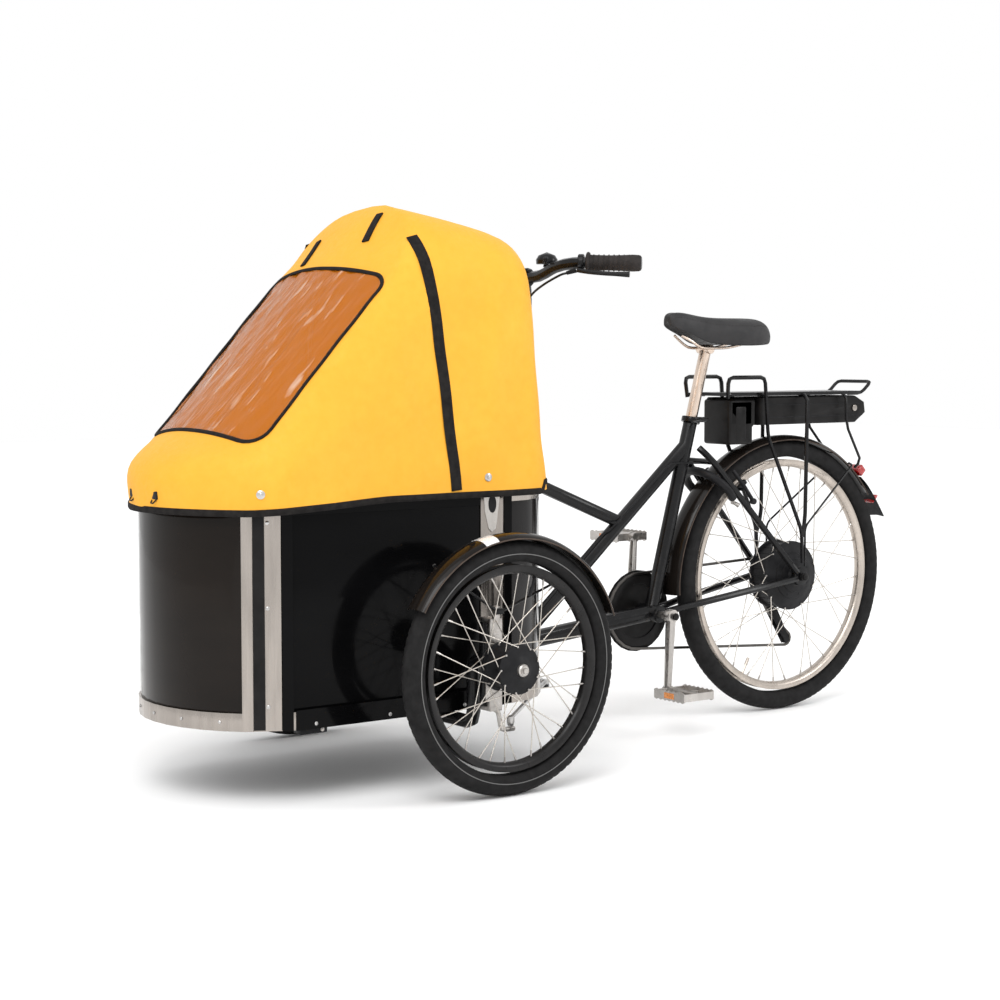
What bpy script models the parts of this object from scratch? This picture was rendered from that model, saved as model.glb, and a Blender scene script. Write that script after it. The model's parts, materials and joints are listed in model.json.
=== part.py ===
"""Electric-assist cargo tricycle: a box with a rain canopy between two steered 20 inch
wheels, driven by a 26 inch rear wheel with a hub motor.

Metres, +X forward, +Y to the rider's left, +Z up. The frame origin is on the ground under
the middle of the bounding box. Every point below is given from the rear wheel's ground
contact, and the whole model hangs from one empty at that place.
"""
import math

import bmesh
import bpy
from mathutils import Matrix, Vector

# ---------------------------------------------------------------- driving dimensions
REAR_CONTACT_X = -0.6815
WHEELBASE = 1.118
HALF_TRACK = 0.400
FRONT_RADIUS = 0.252
REAR_RADIUS = 0.328
TYRE_SECTION = 0.0225
FRONT_RIM_RADIUS = 0.2075
REAR_RIM_RADIUS = 0.2835
SPOKE_COUNT = 36
SPOKE_RADIUS = 0.0012

GAP = 0.0004
STEER_X = 0.780
KINGPIN_Y = 0.322
KINGPIN_RADIUS = 0.0080
COLUMN_RADIUS = 0.0127
# The steering arm and the knuckle arms are the same vector, so each rod is the long side
# of a parallelogram and keeps its direction as the wheels turn.
ARM_BALL = (-0.050, 0.012)
LINKAGE_Z = 0.1275

BOTTOM_BRACKET = Vector((0.415, 0.0, 0.265))
SEAT_SLOPE = -0.2725
SEATPOST_RADIUS = 0.0136
CRANK_LENGTH = 0.170
CRANK_TILT = math.radians(6.0)
CHAIN_Y = -0.0440
RING_RADIUS = 0.0890
SPROCKET_RADIUS = 0.0400
AXLE_Z = 0.328

BOX_BOTTOM = 0.149
BOX_TOP = 0.600
RAIL_HEIGHT = 0.035
BOX_HALF_WIDTH = 0.242
BOX_FRONT_X = 1.685
BOX_ARC_RADIUS = 0.278
BOX_ARC_HALF_WIDTH = 0.200
FRONT_STRIP_REAR_X = 1.520
REAR_CURVE_X = 1.000
REAR_CURVE_DEPTH = 0.180
REAR_STRIP_FRONT_X = 1.077
PANEL_THICKNESS = 0.005

CANOPY_HEM = 0.585
CANOPY_HALF_WIDTH = 0.262
CANOPY_THICKNESS = 0.004
RACK_TOP = 0.772

BLACK = (0.012, 0.012, 0.013)


# ---------------------------------------------------------------- scene and materials
def clear_scene():
    for item in list(bpy.data.objects):
        bpy.data.objects.remove(item, do_unlink=True)


def material(name, colour, roughness, metallic=0.0, alpha=1.0):
    mat = bpy.data.materials.new(name)
    mat.use_nodes = True
    shader = mat.node_tree.nodes["Principled BSDF"]
    shader.inputs["Base Color"].default_value = (*colour, 1.0)
    shader.inputs["Roughness"].default_value = roughness
    shader.inputs["Metallic"].default_value = metallic
    shader.inputs["Alpha"].default_value = alpha
    return mat


clear_scene()
PAINT = material("black_paint", BLACK, 0.25)
RAW_STEEL = material("steel", (0.45, 0.45, 0.46), 0.35, 1.0)
ALUMINIUM = material("aluminium", (0.70, 0.70, 0.72), 0.30, 1.0)
SEAT_TUBE_METAL = material("champagne_aluminium", (0.62, 0.55, 0.48), 0.30, 1.0)
PLASTIC = material("black_plastic", (0.015, 0.015, 0.016), 0.45)
GLOSS = material("gloss_panel", (0.006, 0.006, 0.007), 0.08)
SMOKED = material("smoked_panel", (0.030, 0.018, 0.010), 0.08)
YELLOW = material("canopy_fabric", (1.0, 0.62, 0.07), 0.75)
TYRE_RUBBER = material("tyre_rubber", (0.018, 0.018, 0.018), 0.75)
GRIP_RUBBER = material("grip_rubber", (0.020, 0.018, 0.018), 0.80)
RIM_BLACK = material("black_rim", (0.010, 0.010, 0.010), 0.35, 0.6)
FENDER = material("fender_plastic", (0.020, 0.014, 0.010), 0.25)
LENS = material("red_lens", (0.35, 0.01, 0.01), 0.20)
SADDLE_COVER = material("saddle_cover", (0.015, 0.014, 0.014), 0.55)


def empty(name, location, parent=None):
    marker = bpy.data.objects.new(name, None)
    marker.location = location
    marker.parent = parent
    bpy.context.scene.collection.objects.link(marker)
    return marker


DATUM = empty("rear_contact_datum", (REAR_CONTACT_X, 0.0, 0.0))
PIVOTS = {}


def pivot(name, location, parent="datum"):
    """An empty on a joint's axis. Its location is given from the rear contact."""
    above = DATUM if parent == "datum" else PIVOTS[parent][0]
    base = Vector((0, 0, 0)) if parent == "datum" else PIVOTS[parent][1]
    place = Vector(location)
    PIVOTS[name] = (empty(name + "_axis", place - base, above), place)


def finish(name, bm, mat, on=None, sharp=35.0):
    """Turn a bmesh into the node's object, hung from its joint's empty."""
    bmesh.ops.recalc_face_normals(bm, faces=bm.faces)
    parent, place = PIVOTS[on] if on else (DATUM, Vector((0, 0, 0)))
    bmesh.ops.translate(bm, verts=bm.verts, vec=-place)
    mesh = bpy.data.meshes.new(name)
    bm.to_mesh(mesh)
    bm.free()
    mesh.materials.append(mat)
    mesh.shade_smooth()
    mesh.set_sharp_from_angle(angle=math.radians(sharp))
    item = bpy.data.objects.new(name, mesh)
    item.parent = parent
    bpy.context.scene.collection.objects.link(item)
    return item


def hidden(name, bm, on=None):
    """A cutter or a member of a union: it stays out of the part."""
    item = finish(name, bm, PAINT, on)
    item.hide_render = True
    item.display_type = "WIRE"
    return item


def boolean(item, tools, operation):
    """One exact Boolean on a collection of hidden tools."""
    group = bpy.data.collections.new(f"{item.name}_{tools[0].name}")
    for tool in tools:
        group.objects.link(tool)
    modifier = item.modifiers.new(operation.title(), "BOOLEAN")
    modifier.operation = operation
    modifier.solver = "EXACT"
    modifier.operand_type = "COLLECTION"
    modifier.collection = group


def weld(name, shapes, mat, on=None, cuts=()):
    """Join overlapping shapes into one solid, then drill it."""
    item = finish(name, shapes[0], mat, on)
    members = [hidden(f"{name}_member_{i}", bm, on) for i, bm in enumerate(shapes[1:])]
    if members:
        boolean(item, members, "UNION")
    if cuts:
        drills = [hidden(f"{name}_cut_{i}", bm, on) for i, bm in enumerate(cuts)]
        boolean(item, drills, "DIFFERENCE")
    return item


# ---------------------------------------------------------------- shape helpers
def mirrored(bm):
    """A copy on the other side of the bicycle's middle plane."""
    copy = bm.copy()
    bmesh.ops.scale(copy, vec=(1, -1, 1), verts=copy.verts)
    bmesh.ops.reverse_faces(copy, faces=copy.faces)
    return copy


def rounded(points, radius, steps=4):
    """Replace each inner corner of a path by an arc-like bend."""
    points = [Vector(p) for p in points]
    path = [points[0]]
    for before, corner, after in zip(points, points[1:], points[2:]):
        back = (before - corner)
        ahead = (after - corner)
        reach = min(radius, back.length * 0.45, ahead.length * 0.45)
        start = corner + back.normalized() * reach
        end = corner + ahead.normalized() * reach
        for i in range(steps + 1):
            t = i / steps
            path.append(start.lerp(corner, t).lerp(corner.lerp(end, t), t))
    path.append(points[-1])
    return path


def tube(points, radius, sides=10, closed=False):
    """A round bar along a path. radius may be a list with one value per point."""
    points = [Vector(p) for p in points]
    count = len(points)
    radii = radius if isinstance(radius, list) else [radius] * count
    bm = bmesh.new()
    rings = []
    normal = None
    for i, point in enumerate(points):
        if closed:
            tangent = points[(i + 1) % count] - points[i - 1]
        else:
            tangent = points[min(i + 1, count - 1)] - points[max(i - 1, 0)]
        tangent.normalize()
        if normal is None:
            helper = Vector((0, 1, 0)) if abs(tangent.y) < 0.9 else Vector((0, 0, 1))
            normal = tangent.cross(helper).normalized()
        normal = (normal - tangent * normal.dot(tangent)).normalized()
        side = tangent.cross(normal)
        ring = []
        for k in range(sides):
            angle = 2 * math.pi * k / sides
            offset = normal * math.cos(angle) + side * math.sin(angle)
            ring.append(bm.verts.new(point + offset * radii[i]))
        rings.append(ring)
    pairs = list(zip(rings, rings[1:])) + ([(rings[-1], rings[0])] if closed else [])
    for low, high in pairs:
        for k in range(sides):
            bm.faces.new((low[k], low[(k + 1) % sides], high[(k + 1) % sides], high[k]))
    if not closed:
        bm.faces.new(rings[0])
        bm.faces.new(rings[-1])
    return bm


def turned(profile, sides, centre, axis="y", closed=True):
    """Turn (along, radius) points about an axis. A closed profile makes a ring."""
    turn = {"x": Matrix.Identity(3),
            "y": Matrix(((0, -1, 0), (1, 0, 0), (0, 0, 1))),
            "z": Matrix(((0, 0, -1), (0, 1, 0), (1, 0, 0)))}[axis]
    bm = bmesh.new()
    rings = []
    for along, radius in profile:
        if radius < 1e-6:
            rings.append([bm.verts.new(turn @ Vector((along, 0, 0)) + Vector(centre))])
            continue
        ring = []
        for k in range(sides):
            angle = 2 * math.pi * k / sides
            local = Vector((along, radius * math.cos(angle), radius * math.sin(angle)))
            ring.append(bm.verts.new(turn @ local + Vector(centre)))
        rings.append(ring)
    pairs = list(zip(rings, rings[1:])) + ([(rings[-1], rings[0])] if closed else [])
    for low, high in pairs:
        for k in range(sides):
            n = (k + 1) % sides
            if len(low) == 1:
                bm.faces.new((low[0], high[n], high[k]))
            elif len(high) == 1:
                bm.faces.new((low[k], low[n], high[0]))
            else:
                bm.faces.new((low[k], low[n], high[n], high[k]))
    if not closed:
        for ring in (rings[0], rings[-1]):
            if len(ring) > 1:
                bm.faces.new(ring)
    return bm


def rod(start, end, radius, sides=10):
    return tube([start, end], radius, sides)


def slab(low, high, bevel=0.0):
    """A box between two corners, with rounded edges where a bevel is given."""
    bm = bmesh.new()
    bmesh.ops.create_cube(bm, size=1.0)
    low, high = Vector(low), Vector(high)
    bmesh.ops.scale(bm, vec=high - low, verts=bm.verts)
    bmesh.ops.translate(bm, vec=(low + high) / 2, verts=bm.verts)
    if bevel:
        bmesh.ops.bevel(bm, geom=bm.edges[:], offset=bevel, segments=1, affect="EDGES")
    return bm


def plate(outline, thickness_axis, low, high):
    """Extrude a flat outline. The outline skips the thickness axis's coordinate."""
    def point(a, b, c):
        return {"x": (c, a, b), "y": (a, c, b), "z": (a, b, c)}[thickness_axis]
    bm = bmesh.new()
    bottom = [bm.verts.new(point(a, b, low)) for a, b in outline]
    top = [bm.verts.new(point(a, b, high)) for a, b in outline]
    bm.faces.new(bottom)
    bm.faces.new(top)
    for i in range(len(outline)):
        n = (i + 1) % len(outline)
        bm.faces.new((bottom[i], bottom[n], top[n], top[i]))
    return bm


def offset_plan(points, distance, closed=True):
    """Move a plan outline sideways, to the outside for a positive distance."""
    moved = []
    count = len(points)
    for i, (x, y) in enumerate(points):
        ahead = points[(i + 1) % count] if closed or i + 1 < count else points[i]
        behind = points[i - 1] if closed or i > 0 else points[i]
        tx, ty = ahead[0] - behind[0], ahead[1] - behind[1]
        length = math.hypot(tx, ty)
        moved.append((x + ty / length * distance, y - tx / length * distance))
    return moved


def band(outer, inner, low, high, closed=True):
    """A wall between two plan outlines with the same number of points."""
    bm = bmesh.new()
    loops = [[bm.verts.new((x, y, z)) for x, y in outline]
             for outline, z in ((outer, low), (outer, high), (inner, high), (inner, low))]
    count = len(outer)
    for a, b in zip(loops, loops[1:] + loops[:1]):
        for i in range(count if closed else count - 1):
            n = (i + 1) % count
            bm.faces.new((a[i], a[n], b[n], b[i]))
    if not closed:
        bm.faces.new([loop[0] for loop in loops])
        bm.faces.new([loop[-1] for loop in loops])
    return bm


def seat_axis(z):
    return Vector((BOTTOM_BRACKET.x + (z - BOTTOM_BRACKET.z) * SEAT_SLOPE, 0.0, z))


# ---------------------------------------------------------------- box plan
def front_arc(steps=5):
    """Front panel, from its left edge over the middle to its right edge."""
    centre = BOX_FRONT_X - BOX_ARC_RADIUS
    limit = math.asin(BOX_ARC_HALF_WIDTH / BOX_ARC_RADIUS)
    angles = [limit - 2 * limit * i / (2 * steps) for i in range(2 * steps + 1)]
    return [(centre + BOX_ARC_RADIUS * math.cos(a), BOX_ARC_RADIUS * math.sin(a))
            for a in angles]


def rear_curve(steps=6):
    """Rear panel, from its right edge over the middle to its left edge."""
    angles = [math.pi / 2 * (i / steps - 1) for i in range(2 * steps + 1)]
    return [(REAR_CURVE_X - REAR_CURVE_DEPTH * math.cos(a), BOX_HALF_WIDTH * math.sin(a))
            for a in angles]


def box_plan():
    """The whole box outline, turning clockwise as seen from above."""
    side = [(FRONT_STRIP_REAR_X, -BOX_HALF_WIDTH), (1.30, -BOX_HALF_WIDTH),
            (REAR_STRIP_FRONT_X, -BOX_HALF_WIDTH)]
    left = [(x, -y) for x, y in reversed(side)]
    outline = front_arc() + side + rear_curve() + left
    return outline


def plan_out(distance):
    """The box outline moved outwards: it runs clockwise, so outside is on its left."""
    return offset_plan(box_plan(), -distance)


# ---------------------------------------------------------------- frame
HEAD_LOW, HEAD_HIGH = 0.142, 0.625
DROPOUT_Y = 0.0690
KEEL_Z = 0.125


def main_frame():
    seat_top = seat_axis(0.715)
    seat_joint = seat_axis(0.650)
    shapes = [
        turned([(-0.034, 0.0), (-0.034, 0.020), (0.034, 0.020), (0.034, 0.0)], 16,
               BOTTOM_BRACKET, "y", closed=False),
        rod(BOTTOM_BRACKET, seat_top, 0.0165, 12),
        rod(seat_joint, (STEER_X, 0, 0.245), 0.0160, 10),
        rod(seat_joint.lerp(Vector((STEER_X, 0, 0.245)), 0.42), (STEER_X, 0, 0.590), 0.0145, 10),
        rod(BOTTOM_BRACKET, (STEER_X, 0, 0.230), 0.0200, 10),
        rod((STEER_X, 0, HEAD_LOW), (STEER_X, 0, HEAD_HIGH), 0.0180, 12),
        tube(rounded([(STEER_X, 0, 0.170), (STEER_X + 0.032, 0, KEEL_Z),
                      (WHEELBASE - 0.0165, 0, KEEL_Z)], 0.02, 2), 0.0135, 8),
    ]
    cuts = [
        rod(seat_axis(0.470), seat_axis(0.760), SEATPOST_RADIUS + 2 * GAP, 12),
        rod((STEER_X, 0, HEAD_LOW - 0.02), (STEER_X, 0, HEAD_HIGH + 0.02),
            COLUMN_RADIUS + 2 * GAP, 12),
        rod((0.415, -0.06, 0.265), (0.415, 0.06, 0.265), 0.0090, 10),
    ]
    weld("main_frame", shapes, PAINT, cuts=cuts)


def rear_stays():
    def chain_stay():
        return tube([(0.384, 0.0245, 0.268), (0.335, 0.0285, 0.277), (0.300, 0.0375, 0.282),
                     (0.012, DROPOUT_Y, 0.324)], 0.0085, 8)

    def seat_stay():
        return tube([(0.288, 0.0215, 0.645), (0.277, 0.037, 0.628), (0.262, 0.046, 0.610),
                     (0.012, DROPOUT_Y, 0.338)], 0.0080, 8)

    def dropout():
        return turned([(-0.0035, 0.0), (-0.0035, 0.022), (0.0035, 0.022), (0.0035, 0.0)],
                      12, (0, DROPOUT_Y, AXLE_Z), "y", closed=False)

    def mirrored_all(makers):
        return [shape for make in makers for shape in (make(), mirrored(make()))]

    bridge = rod((0.264, -0.047, 0.612), (0.264, 0.047, 0.612), 0.0070, 8)
    shapes = mirrored_all([chain_stay, seat_stay, dropout]) + [bridge]
    # the motor axle is clamped in the dropouts by its nuts, so it belongs to this solid
    weld("rear_stays", shapes + [rear_axle()], PAINT)


KINGPIN_LOW, KINGPIN_HIGH = 0.170, 0.334


def axle_beam():
    rise_y, join_z = 0.276, 0.252
    half = [(WHEELBASE, rise_y, KEEL_Z), (WHEELBASE, rise_y, join_z),
            (WHEELBASE, KINGPIN_Y, join_z + 0.012)]
    other = [(x, -y, z) for x, y, z in reversed(half)]
    shapes = [tube(rounded(other + half, 0.024, 2), 0.0145, 8)]
    cuts = []
    for side in (1, -1):
        low = Vector((WHEELBASE, side * KINGPIN_Y, KINGPIN_LOW))
        high = Vector((WHEELBASE, side * KINGPIN_Y, KINGPIN_HIGH))
        step = Vector((0, 0, 0.02))
        shapes.append(rod(low, high, 0.0150, 12))
        cuts.append(rod(low - step, high + step, KINGPIN_RADIUS + 2 * GAP, 12))
    weld("axle_beam", shapes, PAINT, cuts=cuts)


# ---------------------------------------------------------------- box
def box():
    low = BOX_BOTTOM + RAIL_HEIGHT
    high = BOX_TOP - RAIL_HEIGHT
    edge = 0.0006

    def wall(points, thickness, outset=0.0, reach=-GAP):
        """A panel along an open plan line; reach runs it into the rails or keeps it clear."""
        return band(offset_plan(points, -outset, False),
                    offset_plan(points, thickness - outset, False),
                    low - reach, high + reach, closed=False)

    corner = Vector(front_arc()[-1]).lerp(Vector((FRONT_STRIP_REAR_X, -BOX_HALF_WIDTH)), 0.030)
    front_strip = [tuple(corner), (FRONT_STRIP_REAR_X + edge, -BOX_HALF_WIDTH)]
    rear_strip = [(REAR_STRIP_FRONT_X - edge, -BOX_HALF_WIDTH),
                  (REAR_CURVE_X + 2 * edge, -BOX_HALF_WIDTH)]
    shapes = [band(plan_out(0.004), plan_out(-0.010), BOX_BOTTOM, low),
              band(plan_out(0.000), plan_out(-0.016), high, BOX_TOP)]
    for line in (front_strip, rear_strip):
        strip = wall(line, 0.006, 0.002, 0.012)
        shapes += [strip, mirrored(strip)]
    weld("box_frame", shapes, ALUMINIUM)
    floor = plate(plan_out(-0.0108), "z", BOX_BOTTOM + 0.004, BOX_BOTTOM + 0.014)
    finish("box_floor", floor, PLASTIC)

    finish("front_panel", wall(front_arc(), PANEL_THICKNESS), SMOKED)
    finish("rear_panel", wall(rear_curve(), PANEL_THICKNESS), GLOSS)
    side = [(FRONT_STRIP_REAR_X - 4 * edge, -BOX_HALF_WIDTH),
            (REAR_STRIP_FRONT_X + edge, -BOX_HALF_WIDTH)]
    right = wall(side, PANEL_THICKNESS)
    finish("side_panel_left", mirrored(right), GLOSS)
    finish("side_panel_right", right, GLOSS)


# ---------------------------------------------------------------- canopy
CANOPY_FRONT_X = BOX_FRONT_X + 0.016
CANOPY_REAR_CENTRE = 0.990
CANOPY_REAR_DEPTH = 0.130
CANOPY_ROOF = [(0.860, 1.050), (0.885, 1.105), (0.930, 1.134), (1.158, 1.172),
               (1.215, 1.142), (1.270, 1.092), (1.650, 0.735), (1.690, 0.680),
               (CANOPY_FRONT_X, 0.650)]


def roof_height(x):
    for (x0, z0), (x1, z1) in zip(CANOPY_ROOF, CANOPY_ROOF[1:]):
        if x <= x1:
            return z0 + (z1 - z0) * max(0.0, (x - x0)) / (x1 - x0)
    return CANOPY_ROOF[-1][1]


def canopy_half_width(x):
    """Half width at the hem: squarish rear, straight sides, chamfer and arc in front."""
    if x < CANOPY_REAR_CENTRE:
        part = min(1.0, (CANOPY_REAR_CENTRE - x) / CANOPY_REAR_DEPTH)
        return CANOPY_HALF_WIDTH * (1 - part ** 2.6) ** (1 / 2.6)
    if x < FRONT_STRIP_REAR_X:
        return CANOPY_HALF_WIDTH
    arc = BOX_ARC_RADIUS + 0.016
    centre = CANOPY_FRONT_X - arc
    on_arc = math.sqrt(max(0.0, arc ** 2 - (x - centre) ** 2))
    chamfer = CANOPY_HALF_WIDTH - (x - FRONT_STRIP_REAR_X) * 0.52
    return min(on_arc, chamfer)


def hem_height(x):
    """The hem hangs outside the box, but stands on its top rail behind the rear hoop."""
    return CANOPY_HEM if x > 0.95 else BOX_TOP + 0.002


def canopy_section(x, inset=0.0, steps=12, hem=None):
    """One arch across the canopy at a station x, from the left hem to the right hem."""
    hem = hem_height(x) if hem is None else hem
    width = canopy_half_width(x) - inset
    height = roof_height(x) - inset - hem
    points = []
    for i in range(steps + 1):
        turn = math.pi * i / steps
        up = abs(math.sin(turn)) ** (2 / 4.2)
        across = math.copysign(abs(math.cos(turn)) ** (2 / 2.1), math.cos(turn))
        points.append(Vector((x, width * across, hem + height * up)))
    return points


def canopy():
    stations = [0.866, 0.885, 0.930, 0.990, 1.158, 1.215, 1.270, 1.400, 1.520, 1.580,
                1.620, 1.655, 1.682, 1.697]
    bm = bmesh.new()
    rows = [[bm.verts.new(p) for p in canopy_section(x)] for x in stations]
    for low, high in zip(rows, rows[1:]):
        for k in range(len(low) - 1):
            bm.faces.new((low[k], low[k + 1], high[k + 1], high[k]))
    for row in (rows[0], rows[-1]):
        bm.faces.new(row)
    bmesh.ops.recalc_face_normals(bm, faces=bm.faces)
    item = finish("canopy", bm, YELLOW)
    shell = item.modifiers.new("Thickness", "SOLIDIFY")
    shell.thickness = CANOPY_THICKNESS
    shell.offset = -1.0
    shell.use_rim = True


def canopy_hoops():
    """Two bows on the top rail, tied by a ridge bar."""
    stations = (0.965, 1.190)
    arches = [canopy_section(x, inset=0.022, steps=12, hem=BOX_TOP + 0.001) for x in stations]
    bows = [tube(arch, 0.0060, 6) for arch in arches]
    ridge = rod(arches[0][6], arches[1][6], 0.0045, 6)
    weld("canopy_hoops", bows + [ridge], RAW_STEEL)


# ---------------------------------------------------------------- wheels
def tyre(centre, radius, sides):
    angles = [math.radians(-60 + 50 * i) for i in range(7)]
    section = [(TYRE_SECTION * math.cos(a), radius - TYRE_SECTION + TYRE_SECTION * math.sin(a))
               for a in angles]
    return turned(section, sides, centre)


def rim(centre, radius):
    """A deep rim: brake flanks outside, spoke bed inside."""
    section = [(-0.0125, radius - 0.0045), (-0.0125, radius - 0.013), (-0.007, radius - 0.021),
               (0.007, radius - 0.021), (0.0125, radius - 0.013), (0.0125, radius - 0.0045)]
    return turned(section, SPOKE_COUNT, centre)


def spokes(centre, hub_radius, flange_half, rim_radius, flange_shift=0.0):
    """Crossed spokes in the rim's nipple band: each leaves a flange along its tangent."""
    band_out, band_in = rim_radius - 0.021 - GAP, rim_radius - 0.0226
    shapes = [turned([(-0.005, band_in), (-0.005, band_out), (0.005, band_out),
                      (0.005, band_in)], SPOKE_COUNT, centre)]
    centre = Vector(centre)
    # each spoke ends inside a flat of the band, half-way between two of its corners
    rim_inner = band_in * math.cos(math.pi / SPOKE_COUNT) + 0.0006
    for i in range(SPOKE_COUNT):
        side = 1 if i % 2 else -1
        lean = 1 if (i // 2) % 2 else -1
        rim_angle = 2 * math.pi * (i + 0.5) / SPOKE_COUNT
        hub_angle = rim_angle + lean * math.radians(48)
        # crossing spokes pass each other, one on each side of the flange
        start = Vector((math.cos(hub_angle) * hub_radius,
                        flange_shift + side * (flange_half + lean * 0.0030),
                        math.sin(hub_angle) * hub_radius))
        end = Vector((math.cos(rim_angle) * rim_inner, side * 0.003,
                      math.sin(rim_angle) * rim_inner))
        shapes.append(rod(centre + start, centre + end, SPOKE_RADIUS, 3))
    return shapes


def front_wheel(word, side):
    centre = Vector((WHEELBASE, side * HALF_TRACK, FRONT_RADIUS))
    pivot(f"wheel_front_{word}", centre, f"steer_{word}")
    on = f"wheel_front_{word}"
    finish(f"tyre_front_{word}", tyre(centre, FRONT_RADIUS, 36), TYRE_RUBBER, on)
    finish(f"rim_front_{word}", rim(centre, FRONT_RIM_RADIUS), RIM_BLACK, on)
    weld(f"spokes_front_{word}", spokes(centre, 0.0475, 0.028, FRONT_RIM_RADIUS),
         RAW_STEEL, on)
    shell = [(-0.030, 0.0440), (-0.030, 0.0468), (-0.026, 0.0468), (-0.026, 0.0400),
             (0.026, 0.0320), (0.026, 0.0468), (0.030, 0.0468), (0.030, 0.0240),
             (0.038, 0.0140), (0.038, 0.0066), (-0.020, 0.0066), (-0.020, 0.0340)]
    shell = [(along * side, radius) for along, radius in shell]
    finish(f"hub_front_{word}", turned(shell, 18, centre), PLASTIC, on)


def rear_wheel():
    centre = Vector((0, 0, AXLE_Z))
    pivot("wheel_rear", centre)
    finish("rear_tyre", tyre(centre, REAR_RADIUS, 40), TYRE_RUBBER, "wheel_rear")
    finish("rear_rim", rim(centre, REAR_RIM_RADIUS), ALUMINIUM, "wheel_rear")
    weld("rear_spokes", spokes(centre, 0.0835, 0.026, REAR_RIM_RADIUS, 0.006),
         RAW_STEEL, "wheel_rear")
    motor = [(-0.034, 0.0066), (-0.034, 0.0300), (-0.022, 0.0740), (-0.022, 0.0828),
             (-0.018, 0.0828), (-0.018, 0.0760), (0.030, 0.0760), (0.030, 0.0828),
             (0.034, 0.0828), (0.040, 0.0640), (0.051, 0.0250), (0.0575, 0.0200),
             (0.0575, 0.0066)]
    finish("hub_motor", turned(motor, 24, centre), PLASTIC, "wheel_rear")


def rear_axle():
    """The fixed motor axle with its nuts, clamped in the dropouts."""
    return turned([(-0.088, 0.0), (-0.088, 0.0060), (-0.0845, 0.0060), (-0.0845, 0.0100),
                   (-0.0735, 0.0100), (-0.0735, 0.0060), (0.0735, 0.0060), (0.0735, 0.0100),
                   (0.0845, 0.0100), (0.0845, 0.0060), (0.088, 0.0060), (0.088, 0.0)],
                  10, (0, 0, AXLE_Z), "y", closed=False)


# ---------------------------------------------------------------- front steering
def knuckle(word, side):
    pivot(f"steer_{word}", (WHEELBASE, side * KINGPIN_Y, FRONT_RADIUS))

    def at(x, y, z):
        return (WHEELBASE + x, side * (KINGPIN_Y + y), z)

    top, bottom = KINGPIN_HIGH + 0.0010, KINGPIN_LOW - 0.0010

    def block(low, high, bevel=0.0):
        a, b = at(*low), at(*high)
        return slab((a[0], min(a[1], b[1]), a[2]), (b[0], max(a[1], b[1]), b[2]), bevel)

    ball_x, ball_y = ARM_BALL
    shapes = [
        rod(at(0, 0, bottom - 0.004), at(0, 0, top + 0.004), KINGPIN_RADIUS, 12),
        block((-0.014, -0.012, top), (0.014, 0.031, top + 0.009)),
        block((-0.014, -0.012, bottom - 0.009), (0.014, 0.031, bottom)),
        block((-0.015, 0.0215, bottom - 0.004), (0.015, 0.0305, top + 0.004)),
        turned([(-0.006, 0.0), (-0.006, 0.0420), (0.004, 0.0420), (0.004, 0.0)], 20,
               at(0, 0.0395, FRONT_RADIUS), "y", closed=False),
        rod(at(0, 0.026, FRONT_RADIUS), at(0, HALF_TRACK - KINGPIN_Y + 0.047, FRONT_RADIUS),
            0.0060, 10),
        tube(rounded([at(0.004, 0.006, bottom - 0.005), at(-0.022, 0.007, bottom - 0.012),
                      at(-0.026, ball_y, LINKAGE_Z - 0.0115),
                      at(ball_x - 0.008, ball_y, LINKAGE_Z - 0.0115)], 0.010, 2), 0.0055, 6),
        # mudguard boss on the back plate
        block((-0.006, 0.024, top + 0.002), (0.006, 0.036, top + 0.034)),
        # brake cam arm
        block((0.020, 0.0335, FRONT_RADIUS - 0.070), (0.030, 0.0375, FRONT_RADIUS - 0.020)),
    ]
    weld(f"knuckle_{word}", shapes, RAW_STEEL, f"steer_{word}")


def front_fender(word, side):
    """A curved guard on stays, turning with the wheel."""
    centre = Vector((WHEELBASE, side * HALF_TRACK, FRONT_RADIUS))
    radius, half, depth = 0.2660, 0.0290, 0.0100
    outer = [(-half, -depth), (-half * 0.75, -0.002), (0, 0.0015), (half * 0.75, -0.002),
             (half, -depth)]
    inner = [(y * 0.94, rise - 0.0022) for y, rise in reversed(outer)]
    section = outer + inner
    bm = bmesh.new()
    rows = []
    steps = 11
    for i in range(steps + 1):
        angle = math.radians(30 + (160 - 30) * i / steps)
        rows.append([bm.verts.new(centre + Vector((math.cos(angle) * (radius + rise), y,
                                                   math.sin(angle) * (radius + rise))))
                     for y, rise in section])
    for low, high in zip(rows, rows[1:]):
        for k in range(len(section)):
            n = (k + 1) % len(section)
            bm.faces.new((low[k], low[n], high[n], high[k]))
    bm.faces.new(rows[0])
    bm.faces.new(rows[-1])
    shapes = [bm]
    inboard = HALF_TRACK - 0.034
    foot_y = KINGPIN_Y + 0.0415
    for angle in (52.0, 138.0):
        tip = Vector((math.cos(math.radians(angle)) * radius, 0,
                      math.sin(math.radians(angle)) * radius))
        foot = (WHEELBASE + tip.x * 0.03, side * foot_y, KINGPIN_HIGH + 0.026)
        edge = (WHEELBASE + tip.x, side * inboard, FRONT_RADIUS + tip.z)
        hook = (WHEELBASE + tip.x, side * (HALF_TRACK - 0.020), FRONT_RADIUS + tip.z)
        shapes.append(tube(rounded([foot, edge, hook], 0.012, 2), 0.0028, 6))
    shapes.append(slab((WHEELBASE - 0.010, min(side * (foot_y - 0.0035), side * (foot_y + 0.0035)),
                        KINGPIN_HIGH + 0.020),
                       (WHEELBASE + 0.010, max(side * (foot_y - 0.0035), side * (foot_y + 0.0035)),
                        KINGPIN_HIGH + 0.032)))
    weld(f"fender_{word}", shapes, FENDER, f"steer_{word}")


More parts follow.
